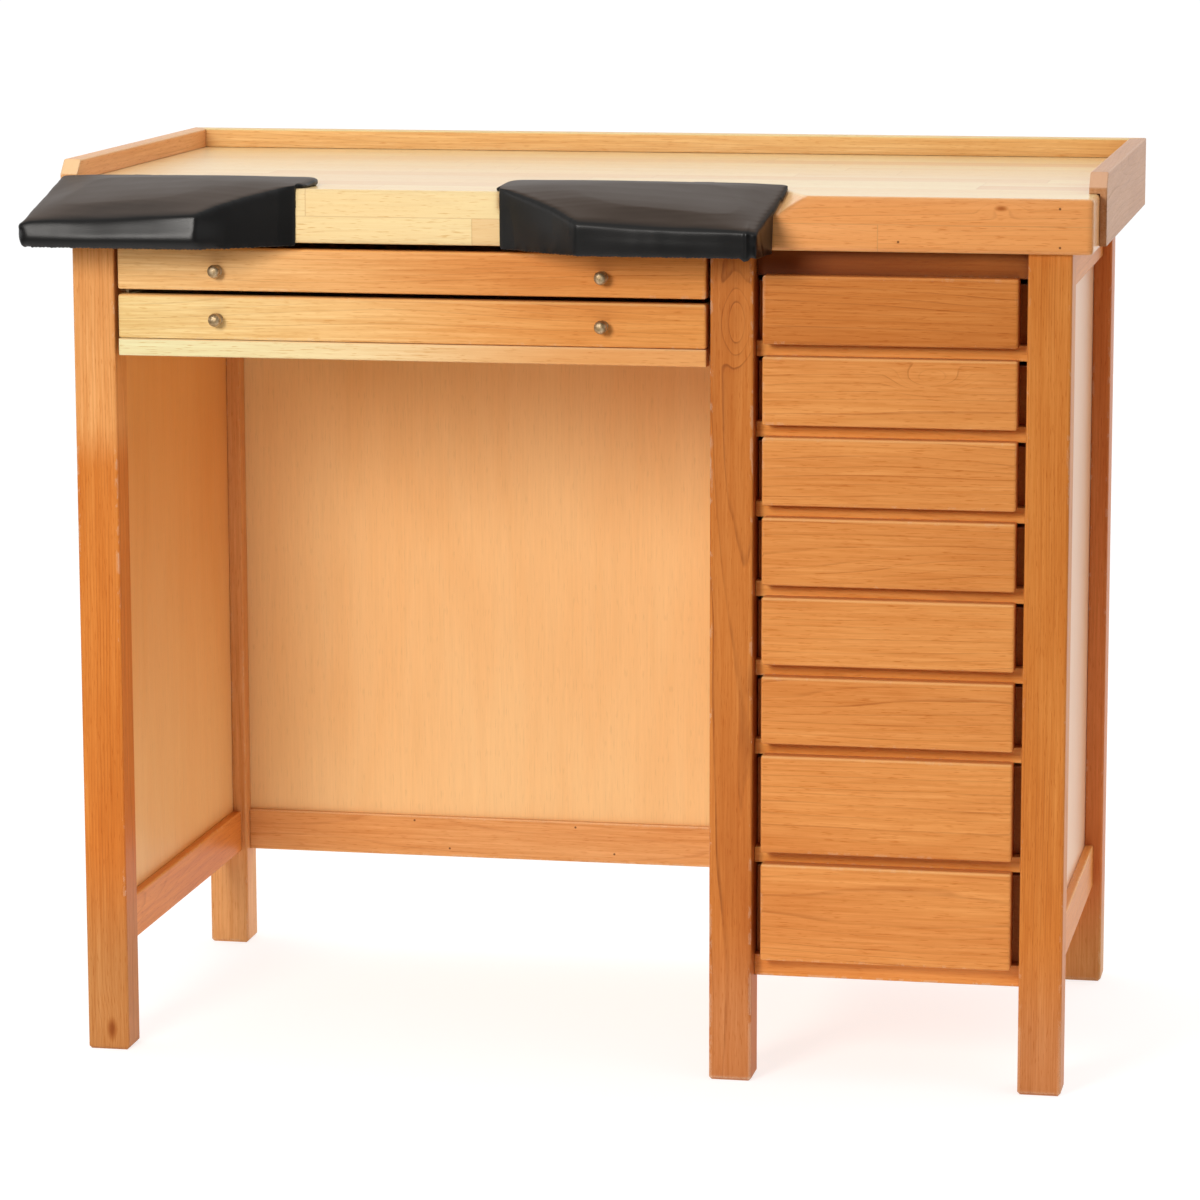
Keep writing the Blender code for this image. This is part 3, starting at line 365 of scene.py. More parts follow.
ALDER_PALE = (0.84, 0.335, 0.084, 1.0)
ALDER_HEART = (0.72, 0.245, 0.048, 1.0)
ALDER_LATE = (0.44, 0.115, 0.018, 1.0)
SCUFF = (0.88, 0.72, 0.55, 1.0)
# A dark brown for pin holes and specks, and for the painted shade in gaps and under ledges.
SHADE_AND_GRIME = (0.10, 0.026, 0.008, 1.0)
GRAIN_DEPTH = 0.00005
NO_EYE = (9.0, 9.0, 9.0)
EASED_REACH = 0.0025
SCUFFED_REACH = 0.0055
SHADE_REACH = 0.045


def alder(node, axes, seed, pith, ring, wander, eye=NO_EYE, reach=0.02, lift=0.0, dark=0.0,
          pale=ALDER_PALE, heart=ALDER_HEART, late=ALDER_LATE, rings=0.50, fibre=0.42,
          knocks=0.6, knocked=0.0, end_tint=None, foot=None, specks=(), painted_shade=0.1):
    """Dresses one node as a lacquered alder board of its own.

    The end tint and the foot are given by where along the board they start and stop and by their tint.
    """
    made, tree, shader = bare_material(f"{node}_alder")
    where, board = along_board(tree, node, axes)
    # This paler colour stands partly for edge wear and partly for a painted highlight on the rounded
    # edges.
    rubbed = (min(1.3 * pale[0], 1.0), min(1.55 * pale[1], 1.0), min(2.1 * pale[2], 1.0), 1.0)
    tones = {"Pale": pale, "Heart": heart, "Late": late}
    for start, stop, tint in filter(None, (end_tint, foot)):
        share = ranged(tree, part_of(tree, board, "X"), start, stop, 1.0, 0.0)
        for tone, depth in (("Pale", 1.0), ("Heart", 0.88), ("Late", 0.64)):
            tinted = (depth * tint[0], depth**1.6 * tint[1], depth**2.4 * tint[2], 1.0)
            tones[tone] = mixed(tree, share, tones[tone], tinted)
    wood = use(tree, wood_group, {
        "Place": board, "Seed": (3.7 * seed, 1.3 * seed, 2.9 * seed), "Pith": pith, "Ring Width": ring,
        "Wander": wander, "Eye Place": eye, "Eye Reach": reach, "Eye Lift": lift, "Eye Dark": dark,
        "Ring Strength": rings, "Fibre Strength": fibre, "Blotch": 0.9, **tones,
    })
    edge = use(tree, edge_group, {"Reach": EASED_REACH})
    rim = use(tree, edge_group, {"Reach": SCUFFED_REACH})
    scuff = use(tree, scuff_group, {
        "Place": where, "Edge": rim["Edge"], "Amount": knocks, "Height": knocked,
    })
    # Painted highlight: upward-facing rounded edges, and a little of every flat top, are lightened
    # where light from above catches them. The other edges are lightened partly as wear and partly as
    # painted highlight.
    upward = part_of(tree, edge["Normal"], "Z")
    sloping = ranged(tree, upward, 0.10, 0.5, 0.0, 0.8)
    top_edge_highlight = calc(tree, "MULTIPLY", sloping, ranged(tree, upward, 0.9, 1.0, 1.0, 0.2))
    edge_wear_and_highlight = calc(tree, "MAXIMUM", top_edge_highlight, calc(tree, "MULTIPLY", edge["Edge"], 0.22))
    worn_and_highlit = mixed(tree, edge_wear_and_highlight, wood["Colour"], rubbed)
    worn_and_highlit = specked(tree, mixed(tree, scuff["Mask"], worn_and_highlit, SCUFF), where, specks)
    # Painted shade: the colour is darkened towards dark brown deep in gaps and under ledges, where
    # shade falls.
    corner = use(tree, painted_shade_group, {"Reach": SHADE_REACH})
    with_painted_shade = mixed(tree, calc(tree, "MULTIPLY", corner["Shade"], painted_shade), worn_and_highlit, SHADE_AND_GRIME)
    surfaced(tree, shader, with_painted_shade, wood["Roughness"], {
        "Height": wood["Height"], "Normal": edge["Normal"], "Strength": 0.35, "Distance": GRAIN_DEPTH,
    })
    lacquer(shader, 0.05)
    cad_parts[node].material_slots[0].material = made


UPRIGHT = "ZXY"
LIGHT_SAP = (0.90, 0.41, 0.135, 1.0)
FOOT_TONE = (0.66, 0.255, 0.085, 1.0)
LEFT_FOOT = (0.60, 0.255, 0.076, 1.0)
REAR_FOOT = (0.71, 0.345, 0.115, 1.0)
light_tones = dict(pale=(0.84, 0.43, 0.17, 1.0), heart=(0.76, 0.34, 0.11, 1.0))
alder("left_front_leg", UPRIGHT, 1, (0.0, 0.23, 0.05), 0.0031, 0.02,
      eye=(-0.415, 0.004, -0.021), reach=0.024, lift=0.007, dark=0.8, rings=0.9,
      pale=(0.74, 0.245, 0.045, 1.0), heart=(0.64, 0.185, 0.026, 1.0),
      knocks=1.0, knocked=0.60, end_tint=(0.25, 0.19, LIGHT_SAP), foot=(-0.36, -0.20, LEFT_FOOT))
alder("middle_front_leg", UPRIGHT, 2, (0.0, 0.004, 0.045), 0.0048, 0.05,
      eye=(0.362, 0.006, -0.021), reach=0.026, lift=0.016, rings=0.8,
      pale=(0.65, 0.215, 0.043, 1.0), heart=(0.52, 0.145, 0.024, 1.0), late=(0.28, 0.066, 0.011, 1.0),
      knocks=1.0, end_tint=(-0.38, -0.26, FOOT_TONE))
alder("right_front_leg", UPRIGHT, 3, (0.0, -0.30, 0.02), 0.0026, 0.012, rings=0.9,
      pale=(0.75, 0.275, 0.058, 1.0), heart=(0.65, 0.20, 0.031, 1.0), end_tint=(-0.40, -0.26, FOOT_TONE))
alder("left_rear_leg", UPRIGHT, 4, (0.0, 0.20, 0.06), 0.0032, 0.03, **light_tones)
alder("middle_rear_leg", UPRIGHT, 5, (0.0, 0.18, 0.03), 0.0030, 0.02)
# The right rear leg's darker, redder tones stand partly for the shade it stands in: painted shade.
alder("right_rear_leg", UPRIGHT, 6, (0.0, -0.22, 0.05), 0.0032, 0.02,
      pale=(0.74, 0.25, 0.075, 1.0), heart=(0.62, 0.175, 0.042, 1.0), foot=(-0.42, -0.30, REAR_FOOT))

# Rails: alder bars tenoned into the legs, two at each side and two right along the back.
# Their grain runs along them, and the edge under the panel is a little eased.
FRONT_TO_BACK = "YZX"
LEFT_TO_RIGHT = "XZY"
alder("left_bottom_rail", FRONT_TO_BACK, 11, (0.0, 0.03, 0.10), 0.0034, 0.03)
alder("left_top_rail", FRONT_TO_BACK, 12, (0.0, 0.02, 0.12), 0.0034, 0.03)
alder("right_bottom_rail", FRONT_TO_BACK, 13, (0.0, 0.0, -0.09), 0.0036, 0.03)
alder("right_top_rail", FRONT_TO_BACK, 14, (0.0, 0.02, -0.12), 0.0034, 0.03)
rail_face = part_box("back_bottom_rail")[0].y
pin_holes = [
    (-0.280, rail_face, 0.153), (-0.238, rail_face, 0.121),
    (-0.088, rail_face, 0.152), (-0.042, rail_face, 0.122),
]
alder("back_bottom_rail", LEFT_TO_RIGHT, 15, (0.0, 0.015, 0.07), 0.0036, 0.04,
      specks=pin_holes, **light_tones)
alder("back_top_rail", LEFT_TO_RIGHT, 16, (0.0, 0.02, 0.09), 0.0034, 0.03)
# The top rail is given dark tones that lighten towards its right end, and strong corner shade: painted
# shade of the worktop's overhang and the right pad above it.
alder("pedestal_top_rail", LEFT_TO_RIGHT, 17, (0.0, 0.02, 0.08), 0.0034, 0.03, painted_shade=0.95,
      pale=(0.46, 0.12, 0.020, 1.0), heart=(0.38, 0.09, 0.013, 1.0),
      end_tint=(0.17, -0.10, (0.72, 0.235, 0.045, 1.0)))

# Panels: birch plywood in grooves of the posts and rails, its face veneer peeled and lacquered.
# The veneer shows a soft upright figure, broad pale flames and hardly any pores.


def peeled_veneer():
    """A peeled veneer: broad slow flames along the grain with fine short fibres."""
    tree, given, result = effect(
        "peeled_veneer",
        {"Place": "Vector", "Seed": "Vector", "Pale": "Color", "Warm": "Color"},
        {"Colour": "Color", "Roughness": "Float", "Height": "Float"},
    )
    seeded = moved(tree, "ADD", given["Place"], given["Seed"])
    flame = waves(tree, seeded, (1.1, 9.0, 9.0), 3.0, 0.55).outputs[0]
    layers = calc(tree, "MULTIPLY", flame, 14.0)
    bands = calc(tree, "PINGPONG", layers, 1.0)
    fibre = waves(tree, seeded, (14.0, 420.0, 420.0), 3.0, 0.6).outputs[0]
    fleck = ranged(tree, waves(tree, seeded, (60.0, 700.0, 700.0), 0.0).outputs[0], 0.64, 0.76)
    cloud = waves(tree, seeded, (2.2, 5.0, 5.0), 2.0).outputs[0]
    streaks = calc(tree, "MULTIPLY", bands, 0.22)
    warm = calc(tree, "MULTIPLY_ADD", ranged(tree, cloud, 0.3, 0.7), 0.55, streaks)
    colour = mixed(tree, warm, given["Pale"], given["Warm"])
    bright = calc(tree, "MULTIPLY_ADD", calc(tree, "SUBTRACT", fibre, 0.5), 0.14, 1.0)
    bright = calc(tree, "MULTIPLY_ADD", fleck, -0.06, bright)
    lit = add(tree, "VectorMath", {0: colour, "Scale": bright}, operation="SCALE").outputs[0]
    tree.links.new(lit, result["Colour"])
    tree.links.new(calc(tree, "MULTIPLY_ADD", fibre, 0.12, 0.38), result["Roughness"])
    tree.links.new(calc(tree, "MULTIPLY_ADD", fleck, -0.6, fibre), result["Height"])
    return tree


veneer_group = peeled_veneer()
VENEER_PALE = (0.97, 0.65, 0.315, 1.0)
VENEER_WARM = (0.92, 0.54, 0.225, 1.0)


def plywood(node, axes, seed, pale=VENEER_PALE, warm=VENEER_WARM, coat=0.06, shaded_at_top=False):
    """Dresses one node as a lacquered plywood panel, which may be given painted shade, deeper in tone
    towards its top and paler at its foot.
    """
    made, tree, shader = bare_material(f"{node}_veneer")
    where, board = along_board(tree, node, axes)
    if shaded_at_top:
        share = ranged(tree, part_of(tree, board, "X"), -0.32, 0.20, 1.0, 0.0)
        pale = mixed(tree, share, pale, VENEER_PALE)
        warm = mixed(tree, share, warm, VENEER_WARM)
    seeds = (2.3 * seed, 4.1 * seed, 1.7 * seed)
    veneer = use(tree, veneer_group, {"Place": board, "Seed": seeds, "Pale": pale, "Warm": warm})
    relief = {"Height": veneer["Height"], "Strength": 0.25, "Distance": GRAIN_DEPTH}
    surfaced(tree, shader, veneer["Colour"], veneer["Roughness"], relief)
    lacquer(shader, coat, 0.30)
    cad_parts[node].material_slots[0].material = made


# The left panel is deeper in tone towards its top and paler at its foot: painted shade under the apron
# and worktop.
plywood("left_panel", "ZYX", 1, (0.90, 0.47, 0.165, 1.0), (0.84, 0.38, 0.11, 1.0), shaded_at_top=True)
# The right panel's paler, pinker veneer stands partly for the pale sheen its outer face shows in this
# light: painted sheen.
plywood("right_panel", "ZYX", 2, (0.93, 0.57, 0.34, 1.0), (0.90, 0.50, 0.265, 1.0), 0.8)
plywood("pedestal_inner_panel", "ZYX", 3)
plywood("kneehole_back_panel", "ZXY", 4)
plywood("pedestal_back_panel", "ZXY", 5)

# Boards between the drawers: alder shelves notched round the legs, set back behind the fronts.
# Only their front edges show, as plain bars in the gaps.
# The dividers' tones are paler than the fronts': painted light that lifts the shade of the gaps they
# sit in.
for number in range(1, 8):
    alder(f"drawer_divider_{number}", LEFT_TO_RIGHT, 20 + number, (0.0, 0.02, 0.09), 0.0035, 0.03,
          rings=0.3, painted_shade=0.0, pale=(0.95, 0.43, 0.11, 1.0), heart=(0.88, 0.36, 0.075, 1.0))
alder("pedestal_bottom_board", LEFT_TO_RIGHT, 28, (0.0, 0.02, 0.08), 0.0035, 0.03,
      rings=0.3, painted_shade=0.0)

# Drawer fronts: flat-sawn alder boards with rounded edges, each from another part of the plank.
# Their arches run along the drawer, the second has an eye, and the top one is of redder wood.
front_tones = dict(pale=(0.83, 0.335, 0.090, 1.0), heart=(0.70, 0.24, 0.054, 1.0))
red_tones = dict(
    pale=(0.68, 0.235, 0.050, 1.0), heart=(0.56, 0.165, 0.029, 1.0), late=(0.34, 0.085, 0.014, 1.0)
)
front_boards = {
    1: dict(pith=(0.0, -0.052, 0.040)),
    2: dict(pith=(0.0, -0.045, 0.060), eye=(0.043, 0.015, -0.0095), reach=0.022, lift=0.020),
    3: dict(pith=(0.0, -0.070, 0.050)),
    4: dict(pith=(0.0, 0.065, 0.055)),
    5: dict(pith=(0.0, -0.085, 0.060)),
    6: dict(pith=(0.0, 0.080, 0.050)),
    7: dict(pith=(0.0, -0.060, 0.060)),
    8: dict(pith=(0.0, 0.012, 0.050)),
}
for number, figure in front_boards.items():
    tones = red_tones if number == 1 else front_tones
    alder(f"drawer_{number}_front", LEFT_TO_RIGHT, 30 + number, ring=0.0055, wander=0.05, rings=0.62,
          **figure, **tones)

# Drawer trays: pale softwood boxes glued up behind the fronts, sealed but not stained.
# Their grain runs from front to back, with narrow straight rings, and their front ends are tinted to
# the alder of the fronts: painted shade for the gaps beside the drawer fronts.
PINE_PALE = (0.84, 0.58, 0.31, 1.0)
PINE_HEART = (0.76, 0.48, 0.23, 1.0)
PINE_LATE = (0.60, 0.33, 0.13, 1.0)
pine = dict(pale=PINE_PALE, heart=PINE_HEART, late=PINE_LATE, rings=0.4, knocks=0.0)
for number in range(1, 9):
    alder(f"drawer_{number}_tray", FRONT_TO_BACK, 40 + number, (0.0, 0.30, 0.10), 0.0042, 0.02, **pine,
          end_tint=(-0.18, -0.15, ALDER_HEART))

# Apron drawers: two shallow drawers over the kneehole with long alder fronts, paler towards the left,
# partly as pale sapwood and partly as painted light from the lamp on the left.
# The lower one stands on a base board whose pale front edge shows below it, paler to the left in the
# same way; both run on side runners.
UPPER_SAP_AND_LIGHT = (0.99, 0.60, 0.25, 1.0)
LOWER_SAP_AND_LIGHT = (0.99, 0.72, 0.32, 1.0)
STRIP_SAP_AND_LIGHT = (0.98, 0.90, 0.53, 1.0)
apron_tones = dict(pale=(0.86, 0.35, 0.087, 1.0), heart=(0.75, 0.26, 0.054, 1.0))
alder("upper_apron_front", LEFT_TO_RIGHT, 51, (0.0, -0.05, 0.045), 0.0046, 0.05, **apron_tones,
      end_tint=(-0.34, 0.22, UPPER_SAP_AND_LIGHT))
alder("lower_apron_front", LEFT_TO_RIGHT, 52, (0.0, 0.05, 0.060), 0.0046, 0.04, **apron_tones,
      end_tint=(-0.34, 0.22, LOWER_SAP_AND_LIGHT))
alder("upper_apron_tray", FRONT_TO_BACK, 53, (0.0, 0.30, 0.10), 0.0042, 0.02, **pine)
alder("lower_apron_tray", LEFT_TO_RIGHT, 54, (0.0, 0.30, 0.10), 0.0042, 0.02,
      pale=(0.88, 0.42, 0.15, 1.0), heart=(0.86, 0.37, 0.11, 1.0), late=PINE_LATE,
      rings=0.14, fibre=0.22, knocks=0.0, end_tint=(-0.30, 0.26, STRIP_SAP_AND_LIGHT))
for side, seed in (("left", 55), ("right", 56)):
    alder(f"{side}_apron_runner", FRONT_TO_BACK, seed, (0.0, 0.30, 0.10), 0.0042, 0.02, **pine)

# Worktop: a thick slab glued up from maple staves in two layers, planed flat and lacquered.
# Stave ends butt here and there along the length, and tone changes from stave to stave.


def glued_staves():
    """Staves laid along the slab: two chance values and a shift for each stave, and the glue lines."""
    tree, given, result = effect(
        "glued_staves",
        {"Place": "Vector", "Stave": "Vector"},
        {"Tone": "Float", "Warmth": "Float", "Shift": "Vector", "Seam": "Float"},
    )
    steps = moved(tree, "DIVIDE", given["Place"], given["Stave"])
    parts = add(tree, "SeparateXYZ", {0: steps}).outputs
    row = calc(tree, "FLOOR", parts["Y"])
    layer = calc(tree, "FLOOR", parts["Z"])
    lane = add(tree, "CombineXYZ", {0: row, 1: layer, 2: 0.37}).outputs[0]
    start = add(tree, "TexWhiteNoise", {0: lane}, noise_dimensions="3D").outputs[0]
    along = calc(tree, "MULTIPLY_ADD", start, 7.0, parts["X"])
    piece = calc(tree, "FLOOR", along)
    cell = add(tree, "CombineXYZ", {0: row, 1: layer, 2: piece}).outputs[0]
    chance = add(tree, "TexWhiteNoise", {0: cell}, noise_dimensions="3D").outputs
    colours = add(tree, "SeparateColor", {0: chance[1]}).outputs
    tree.links.new(colours[0], result["Tone"])
    tree.links.new(colours[1], result["Warmth"])
    tree.links.new(moved(tree, "MULTIPLY", chance[1], (9.0, 9.0, 9.0)), result["Shift"])
    sides = calc(tree, "PINGPONG", parts["Y"], 0.5)
    beds = calc(tree, "PINGPONG", parts["Z"], 0.5)
    ends = calc(tree, "PINGPONG", along, 0.5)
    side_line = ranged(tree, sides, 0.004, 0.016, 1.0, 0.0)
    bed_line = ranged(tree, beds, 0.006, 0.022, 1.0, 0.0)
    end_line = ranged(tree, ends, 0.0004, 0.0022, 1.0, 0.0)
    lines = calc(tree, "MAXIMUM", calc(tree, "MAXIMUM", side_line, bed_line), end_line)
    tree.links.new(lines, result["Seam"])
    return tree


stave_group = glued_staves()
STAVE_SIZE = (0.42, 0.045, 0.0285)
MAPLE_PALE = (0.99, 0.77, 0.40, 1.0)
MAPLE_HEART = (0.96, 0.64, 0.28, 1.0)
MAPLE_LATE = (0.62, 0.33, 0.13, 1.0)
MAPLE_WARM = (0.82, 0.42, 0.17, 1.0)
GLUE = (0.55, 0.27, 0.10, 1.0)
WORKTOP_EDGE_REACH = 0.010
worktop_maple, tree, shader = bare_material("worktop_staves")
where, board = along_board(tree, "worktop", "XYZ")
stave = use(tree, stave_group, {"Place": board, "Stave": STAVE_SIZE})
figure = use(tree, wood_group, {
    "Place": board, "Seed": stave["Shift"], "Pith": (0.0, 0.21, 0.12),
    "Ring Width": 0.0045, "Wander": 0.05,
    "Eye Place": NO_EYE, "Eye Reach": 0.02,
    "Pale": MAPLE_PALE, "Heart": MAPLE_HEART, "Late": MAPLE_LATE,
    "Ring Strength": 0.20, "Fibre Strength": 0.12, "Blotch": 0.6,
})
lipping = use(tree, wood_group, {
    "Place": board, "Seed": stave["Shift"], "Pith": (0.0, -0.25, 0.05),
    "Ring Width": 0.0060, "Wander": 0.07,
    "Eye Place": (0.453, -0.288, 0.018), "Eye Reach": 0.014, "Eye Lift": 0.009, "Eye Dark": 0.9,
    "Pale": (0.96, 0.42, 0.14, 1.0), "Heart": (0.92, 0.37, 0.105, 1.0), "Late": ALDER_LATE,
    "Ring Strength": 0.34, "Fibre Strength": 0.22, "Blotch": 0.7,
})
edge = use(tree, edge_group, {"Reach": WORKTOP_EDGE_REACH})
turned = add(tree, "SeparateXYZ", {0: edge["Normal"]}).outputs
right_part = ranged(tree, part_of(tree, board, "X"), 0.10, 0.16)
orange = calc(tree, "MULTIPLY", ranged(tree, turned["Y"], -0.05, -0.40), right_part)
orange = calc(tree, "MAXIMUM", orange, ranged(tree, turned["X"], 0.25, 0.75, 0.0, 0.75))
warmth = ranged(tree, stave["Warmth"], 0.55, 1.0, 0.0, 0.55)
toned = mixed(tree, warmth, figure["Colour"], MAPLE_WARM)
toned = mixed(tree, orange, toned, lipping["Colour"])
seamed = mixed(tree, calc(tree, "MULTIPLY", stave["Seam"], 0.35), toned, GLUE)
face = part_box("worktop")[0].y
face_specks = [(0.512, face, 0.9225), (0.349, face, 0.887), (0.5125, face, 0.8835)]
surfaced(tree, shader, specked(tree, seamed, where, face_specks), figure["Roughness"], {
    "Height": figure["Height"], "Normal": edge["Normal"], "Strength": 0.25, "Distance": GRAIN_DEPTH,
})
lacquer(shader, 0.45, 0.16)
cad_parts["worktop"].material_slots[0].material = worktop_maple

# Gallery: three low rails of maple round the back and sides, rebated over the worktop's edge.
# They are mitred at the back corners, and the side rails end in a chamfered nose.
maple = dict(pale=(0.96, 0.60, 0.25, 1.0), heart=(0.91, 0.50, 0.17, 1.0), late=(0.62, 0.28, 0.08, 1.0))
amber = dict(pale=(0.88, 0.44, 0.18, 1.0), heart=(0.80, 0.35, 0.12, 1.0), late=(0.55, 0.22, 0.07, 1.0))
rosy = dict(pale=(0.64, 0.32, 0.15, 1.0), heart=(0.57, 0.26, 0.11, 1.0), late=(0.40, 0.16, 0.06, 1.0))
sheltered = dict(ring=0.0045, knocks=0.1, painted_shade=0.2)
alder("gallery_back_rail", LEFT_TO_RIGHT, 61, (0.0, -0.03, 0.035), wander=0.06, **sheltered, **maple)
alder("gallery_left_rail", FRONT_TO_BACK, 62, (0.0, 0.03, 0.05), wander=0.04, **sheltered, **amber)
alder("gallery_right_rail", FRONT_TO_BACK, 63, (0.0, 0.03, 0.05), wander=0.04, **sheltered, **rosy)

# Knobs: small turned bronze knobs with a waist and a domed head, screwed to the apron fronts.
# The metal is cast and aged, pitted and brown in the hollows and rubbed bright on the crown.
knob_turns = 48
knob_sunk = 0.25
BRONZE_DARK = (0.38, 0.265, 0.14, 1.0)
BRONZE_BRIGHT = (0.62, 0.475, 0.30, 1.0)
BRONZE_PIT = (0.22, 0.14, 0.07, 1.0)
bronze, tree, shader = bare_material("aged_bronze")
where = add(tree, "TexCoord").outputs["Object"]
pits = waves(tree, where, (900.0, 900.0, 900.0), 3.0, 0.6).outputs[0]
patina = waves(tree, where, (260.0, 260.0, 260.0), 2.0).outputs[0]
brown = mixed(tree, ranged(tree, patina, 0.35, 0.65), BRONZE_DARK, BRONZE_BRIGHT)
dulled = mixed(tree, ranged(tree, pits, 0.56, 0.70), brown, BRONZE_PIT)
rough = calc(tree, "MULTIPLY_ADD", pits, 0.35, 0.36)
surfaced(tree, shader, dulled, rough, {"Height": pits, "Strength": 0.5, "Distance": 0.0003})
shader.inputs["Metallic"].default_value = 1.0


def turned_knob(node, body):
    """Turns a knob's outline round its axis, smooth and fine, in the place of the plain solid."""
    low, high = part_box(node)
    head = (high.x - low.x) / 2
    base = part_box(f"{body}_front")[0].y
    reach = base - low.y
    outline = [
        (0.0, -knob_sunk), (0.30, -knob_sunk), (0.86, 0.02), (0.89, 0.06), (0.84, 0.10), (0.62, 0.15),
        (0.50, 0.21), (0.45, 0.30), (0.46, 0.38), (0.55, 0.46), (0.74, 0.50), (0.90, 0.555),
        (0.985, 0.63), (1.0, 0.69), (0.97, 0.77), (0.88, 0.85), (0.72, 0.92), (0.50, 0.97),
        (0.25, 0.993), (0.0, 1.0),
    ]
    shape = bmesh.new()
    axis = Vector(((low.x + high.x) / 2, base, (low.z + high.z) / 2))
    line = [shape.verts.new(axis + Vector((wide * head, -out * reach, 0.0))) for wide, out in outline]
    edges = [shape.edges.new(pair) for pair in zip(line, line[1:])]
    bmesh.ops.spin(
        shape, geom=line + edges, cent=axis, axis=(0, 1, 0), angle=math.tau, steps=knob_turns
    )
    bmesh.ops.remove_doubles(shape, verts=shape.verts[:], dist=1e-6)
    bmesh.ops.recalc_face_normals(shape, faces=shape.faces[:])
    mesh = bpy.data.meshes.new(f"turned_{node}")
    shape.to_mesh(mesh)
    shape.free()
    mesh.shade_smooth()
    mesh.materials.append(bronze)
    knob = bpy.data.objects.new(f"turned_{node}", mesh)
    bpy.context.scene.collection.objects.link(knob)
    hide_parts(node)
    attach(knob, body)


for body in ("upper_apron", "lower_apron"):
    for side in ("left", "right"):
        turned_knob(f"{body.split('_')[0]}_{side}_knob", body)

# Armrest blocks: sloped alder blocks screwed to the worktop's front face, hidden under the pads.
# Only their undersides show, inside the folded edge of the covers.
for side, seed in (("left", 71), ("right", 72)):
    alder(f"{side}_armrest_block", LEFT_TO_RIGHT, seed, (0.0, 0.03, 0.06), 0.0036, 0.04)

# Armrest pads: black leatherette drawn tight over thin foam on the blocks, lapped onto the worktop.
# The cover swells a little between its edges, is gathered at the outer front corners, and is folded
# under and stapled along the bottom.
LEATHER_BLACK = (0.0032, 0.0031, 0.0031, 1.0)
LEATHER_RUBBED = (0.006, 0.0056, 0.0056, 1.0)
LEATHER_TOP_DUST_AND_SHEEN = (0.054, 0.034, 0.022, 1.0)
leatherette, tree, shader = bare_material("black_leatherette")
where = add(tree, "TexCoord").outputs["Object"]
pebble = add(tree, "TexVoronoi", {"Vector": where, "Scale": 850.0}, feature="SMOOTH_F1").outputs[0]
skin = waves(tree, where, (2200.0, 2200.0, 2200.0), 2.0).outputs[0]
rubbed = waves(tree, where, (14.0, 14.0, 14.0), 3.0).outputs[0]
upward = part_of(tree, add(tree, "NewGeometry").outputs["Normal"], "Z")
on_top = ranged(tree, upward, 0.55, 0.95)
black = mixed(tree, ranged(tree, rubbed, 0.3, 0.75), LEATHER_BLACK, LEATHER_RUBBED)
# The tops are toned a warm brown: partly dust and wear, and partly a painted warm reflection.
black = mixed(tree, on_top, black, LEATHER_TOP_DUST_AND_SHEEN)
worn_roll = calc(tree, "MULTIPLY", ranged(tree, upward, 0.08, 0.30), ranged(tree, upward, 0.97, 0.80))
worn_roll = calc(tree, "MULTIPLY", worn_roll, ranged(tree, part_of(tree, where, "X"), -0.20, -0.05))
satin = calc(tree, "MULTIPLY_ADD", on_top, 0.14, 0.31)
satin = calc(tree, "MULTIPLY_ADD", worn_roll, 0.30, satin)
satin = calc(tree, "MULTIPLY_ADD", rubbed, 0.12, satin)
surfaced(tree, shader, black, satin, {
    "Height": calc(tree, "MULTIPLY_ADD", skin, 0.3, pebble), "Strength": 0.22, "Distance": 0.00025,
})
shader.inputs["Specular IOR Level"].default_value = 0.38
pad_voxel = 0.0028
pad_over_block = 0.0012
pad_start = 0.0008
pad_swell_cap = 0.005
pad_pressure = 4.0
pad_cloth_steps = 20
pad_front_height = 0.030
pad_belly_out = 0.0050
pad_side_out = 0.0066
pad_lean_out = 0.0034
pad_tuck_in = 0.0012
pad_pleat_out = 0.0016
pad_tab_drop = 0.0035
pad_soft_rounds = 14
pad_way_rounds = 60
bed_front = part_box("worktop")[0].y


def settle(piece):
    """Applies a piece's modifiers to its mesh."""
    graph = bpy.context.evaluated_depsgraph_get()
    settled = bpy.data.meshes.new_from_object(piece.evaluated_get(graph))
    piece.modifiers.clear()
    piece.data = settled


def points_of(piece):
    """A piece's points as rows."""
    rows = np.empty(3 * len(piece.data.vertices), np.float32)
    piece.data.vertices.foreach_get("co", rows)
    return rows.reshape(-1, 3).astype(float)


def normals_of(piece):
    """The directions in which a piece's points face."""
    rows = np.empty(3 * len(piece.data.vertices), np.float32)
    piece.data.vertices.foreach_get("normal", rows)
    return rows.reshape(-1, 3).astype(float)


def reshape(piece, points):
    """Moves a piece's points."""
    piece.data.vertices.foreach_set("co", points.astype(np.float32).ravel())
    piece.data.update()


def neighbours_of(piece):
    """A function that gives each point of a piece the mean of its neighbours' values."""
    pairs = np.empty(2 * len(piece.data.edges), np.int32)
    piece.data.edges.foreach_get("vertices", pairs)
    pairs = pairs.reshape(-1, 2)
    ends = np.concatenate([pairs[:, 0], pairs[:, 1]])
    others = np.concatenate([pairs[:, 1], pairs[:, 0]])
    count = len(piece.data.vertices)
    many = np.bincount(ends, minlength=count)[:, None]

    def mean(rows):
        sums = [np.bincount(ends, rows[others, axis], count) for axis in range(3)]
        return np.stack(sums, 1) / many

    return mean


def evened(piece, rounds):
    """Evens out a piece's surface without shrinking it."""
    mean = neighbours_of(piece)
    points = points_of(piece)
    for step in [0.5, -0.52] * rounds:
        points += step * (mean(points) - points)
    reshape(piece, points)


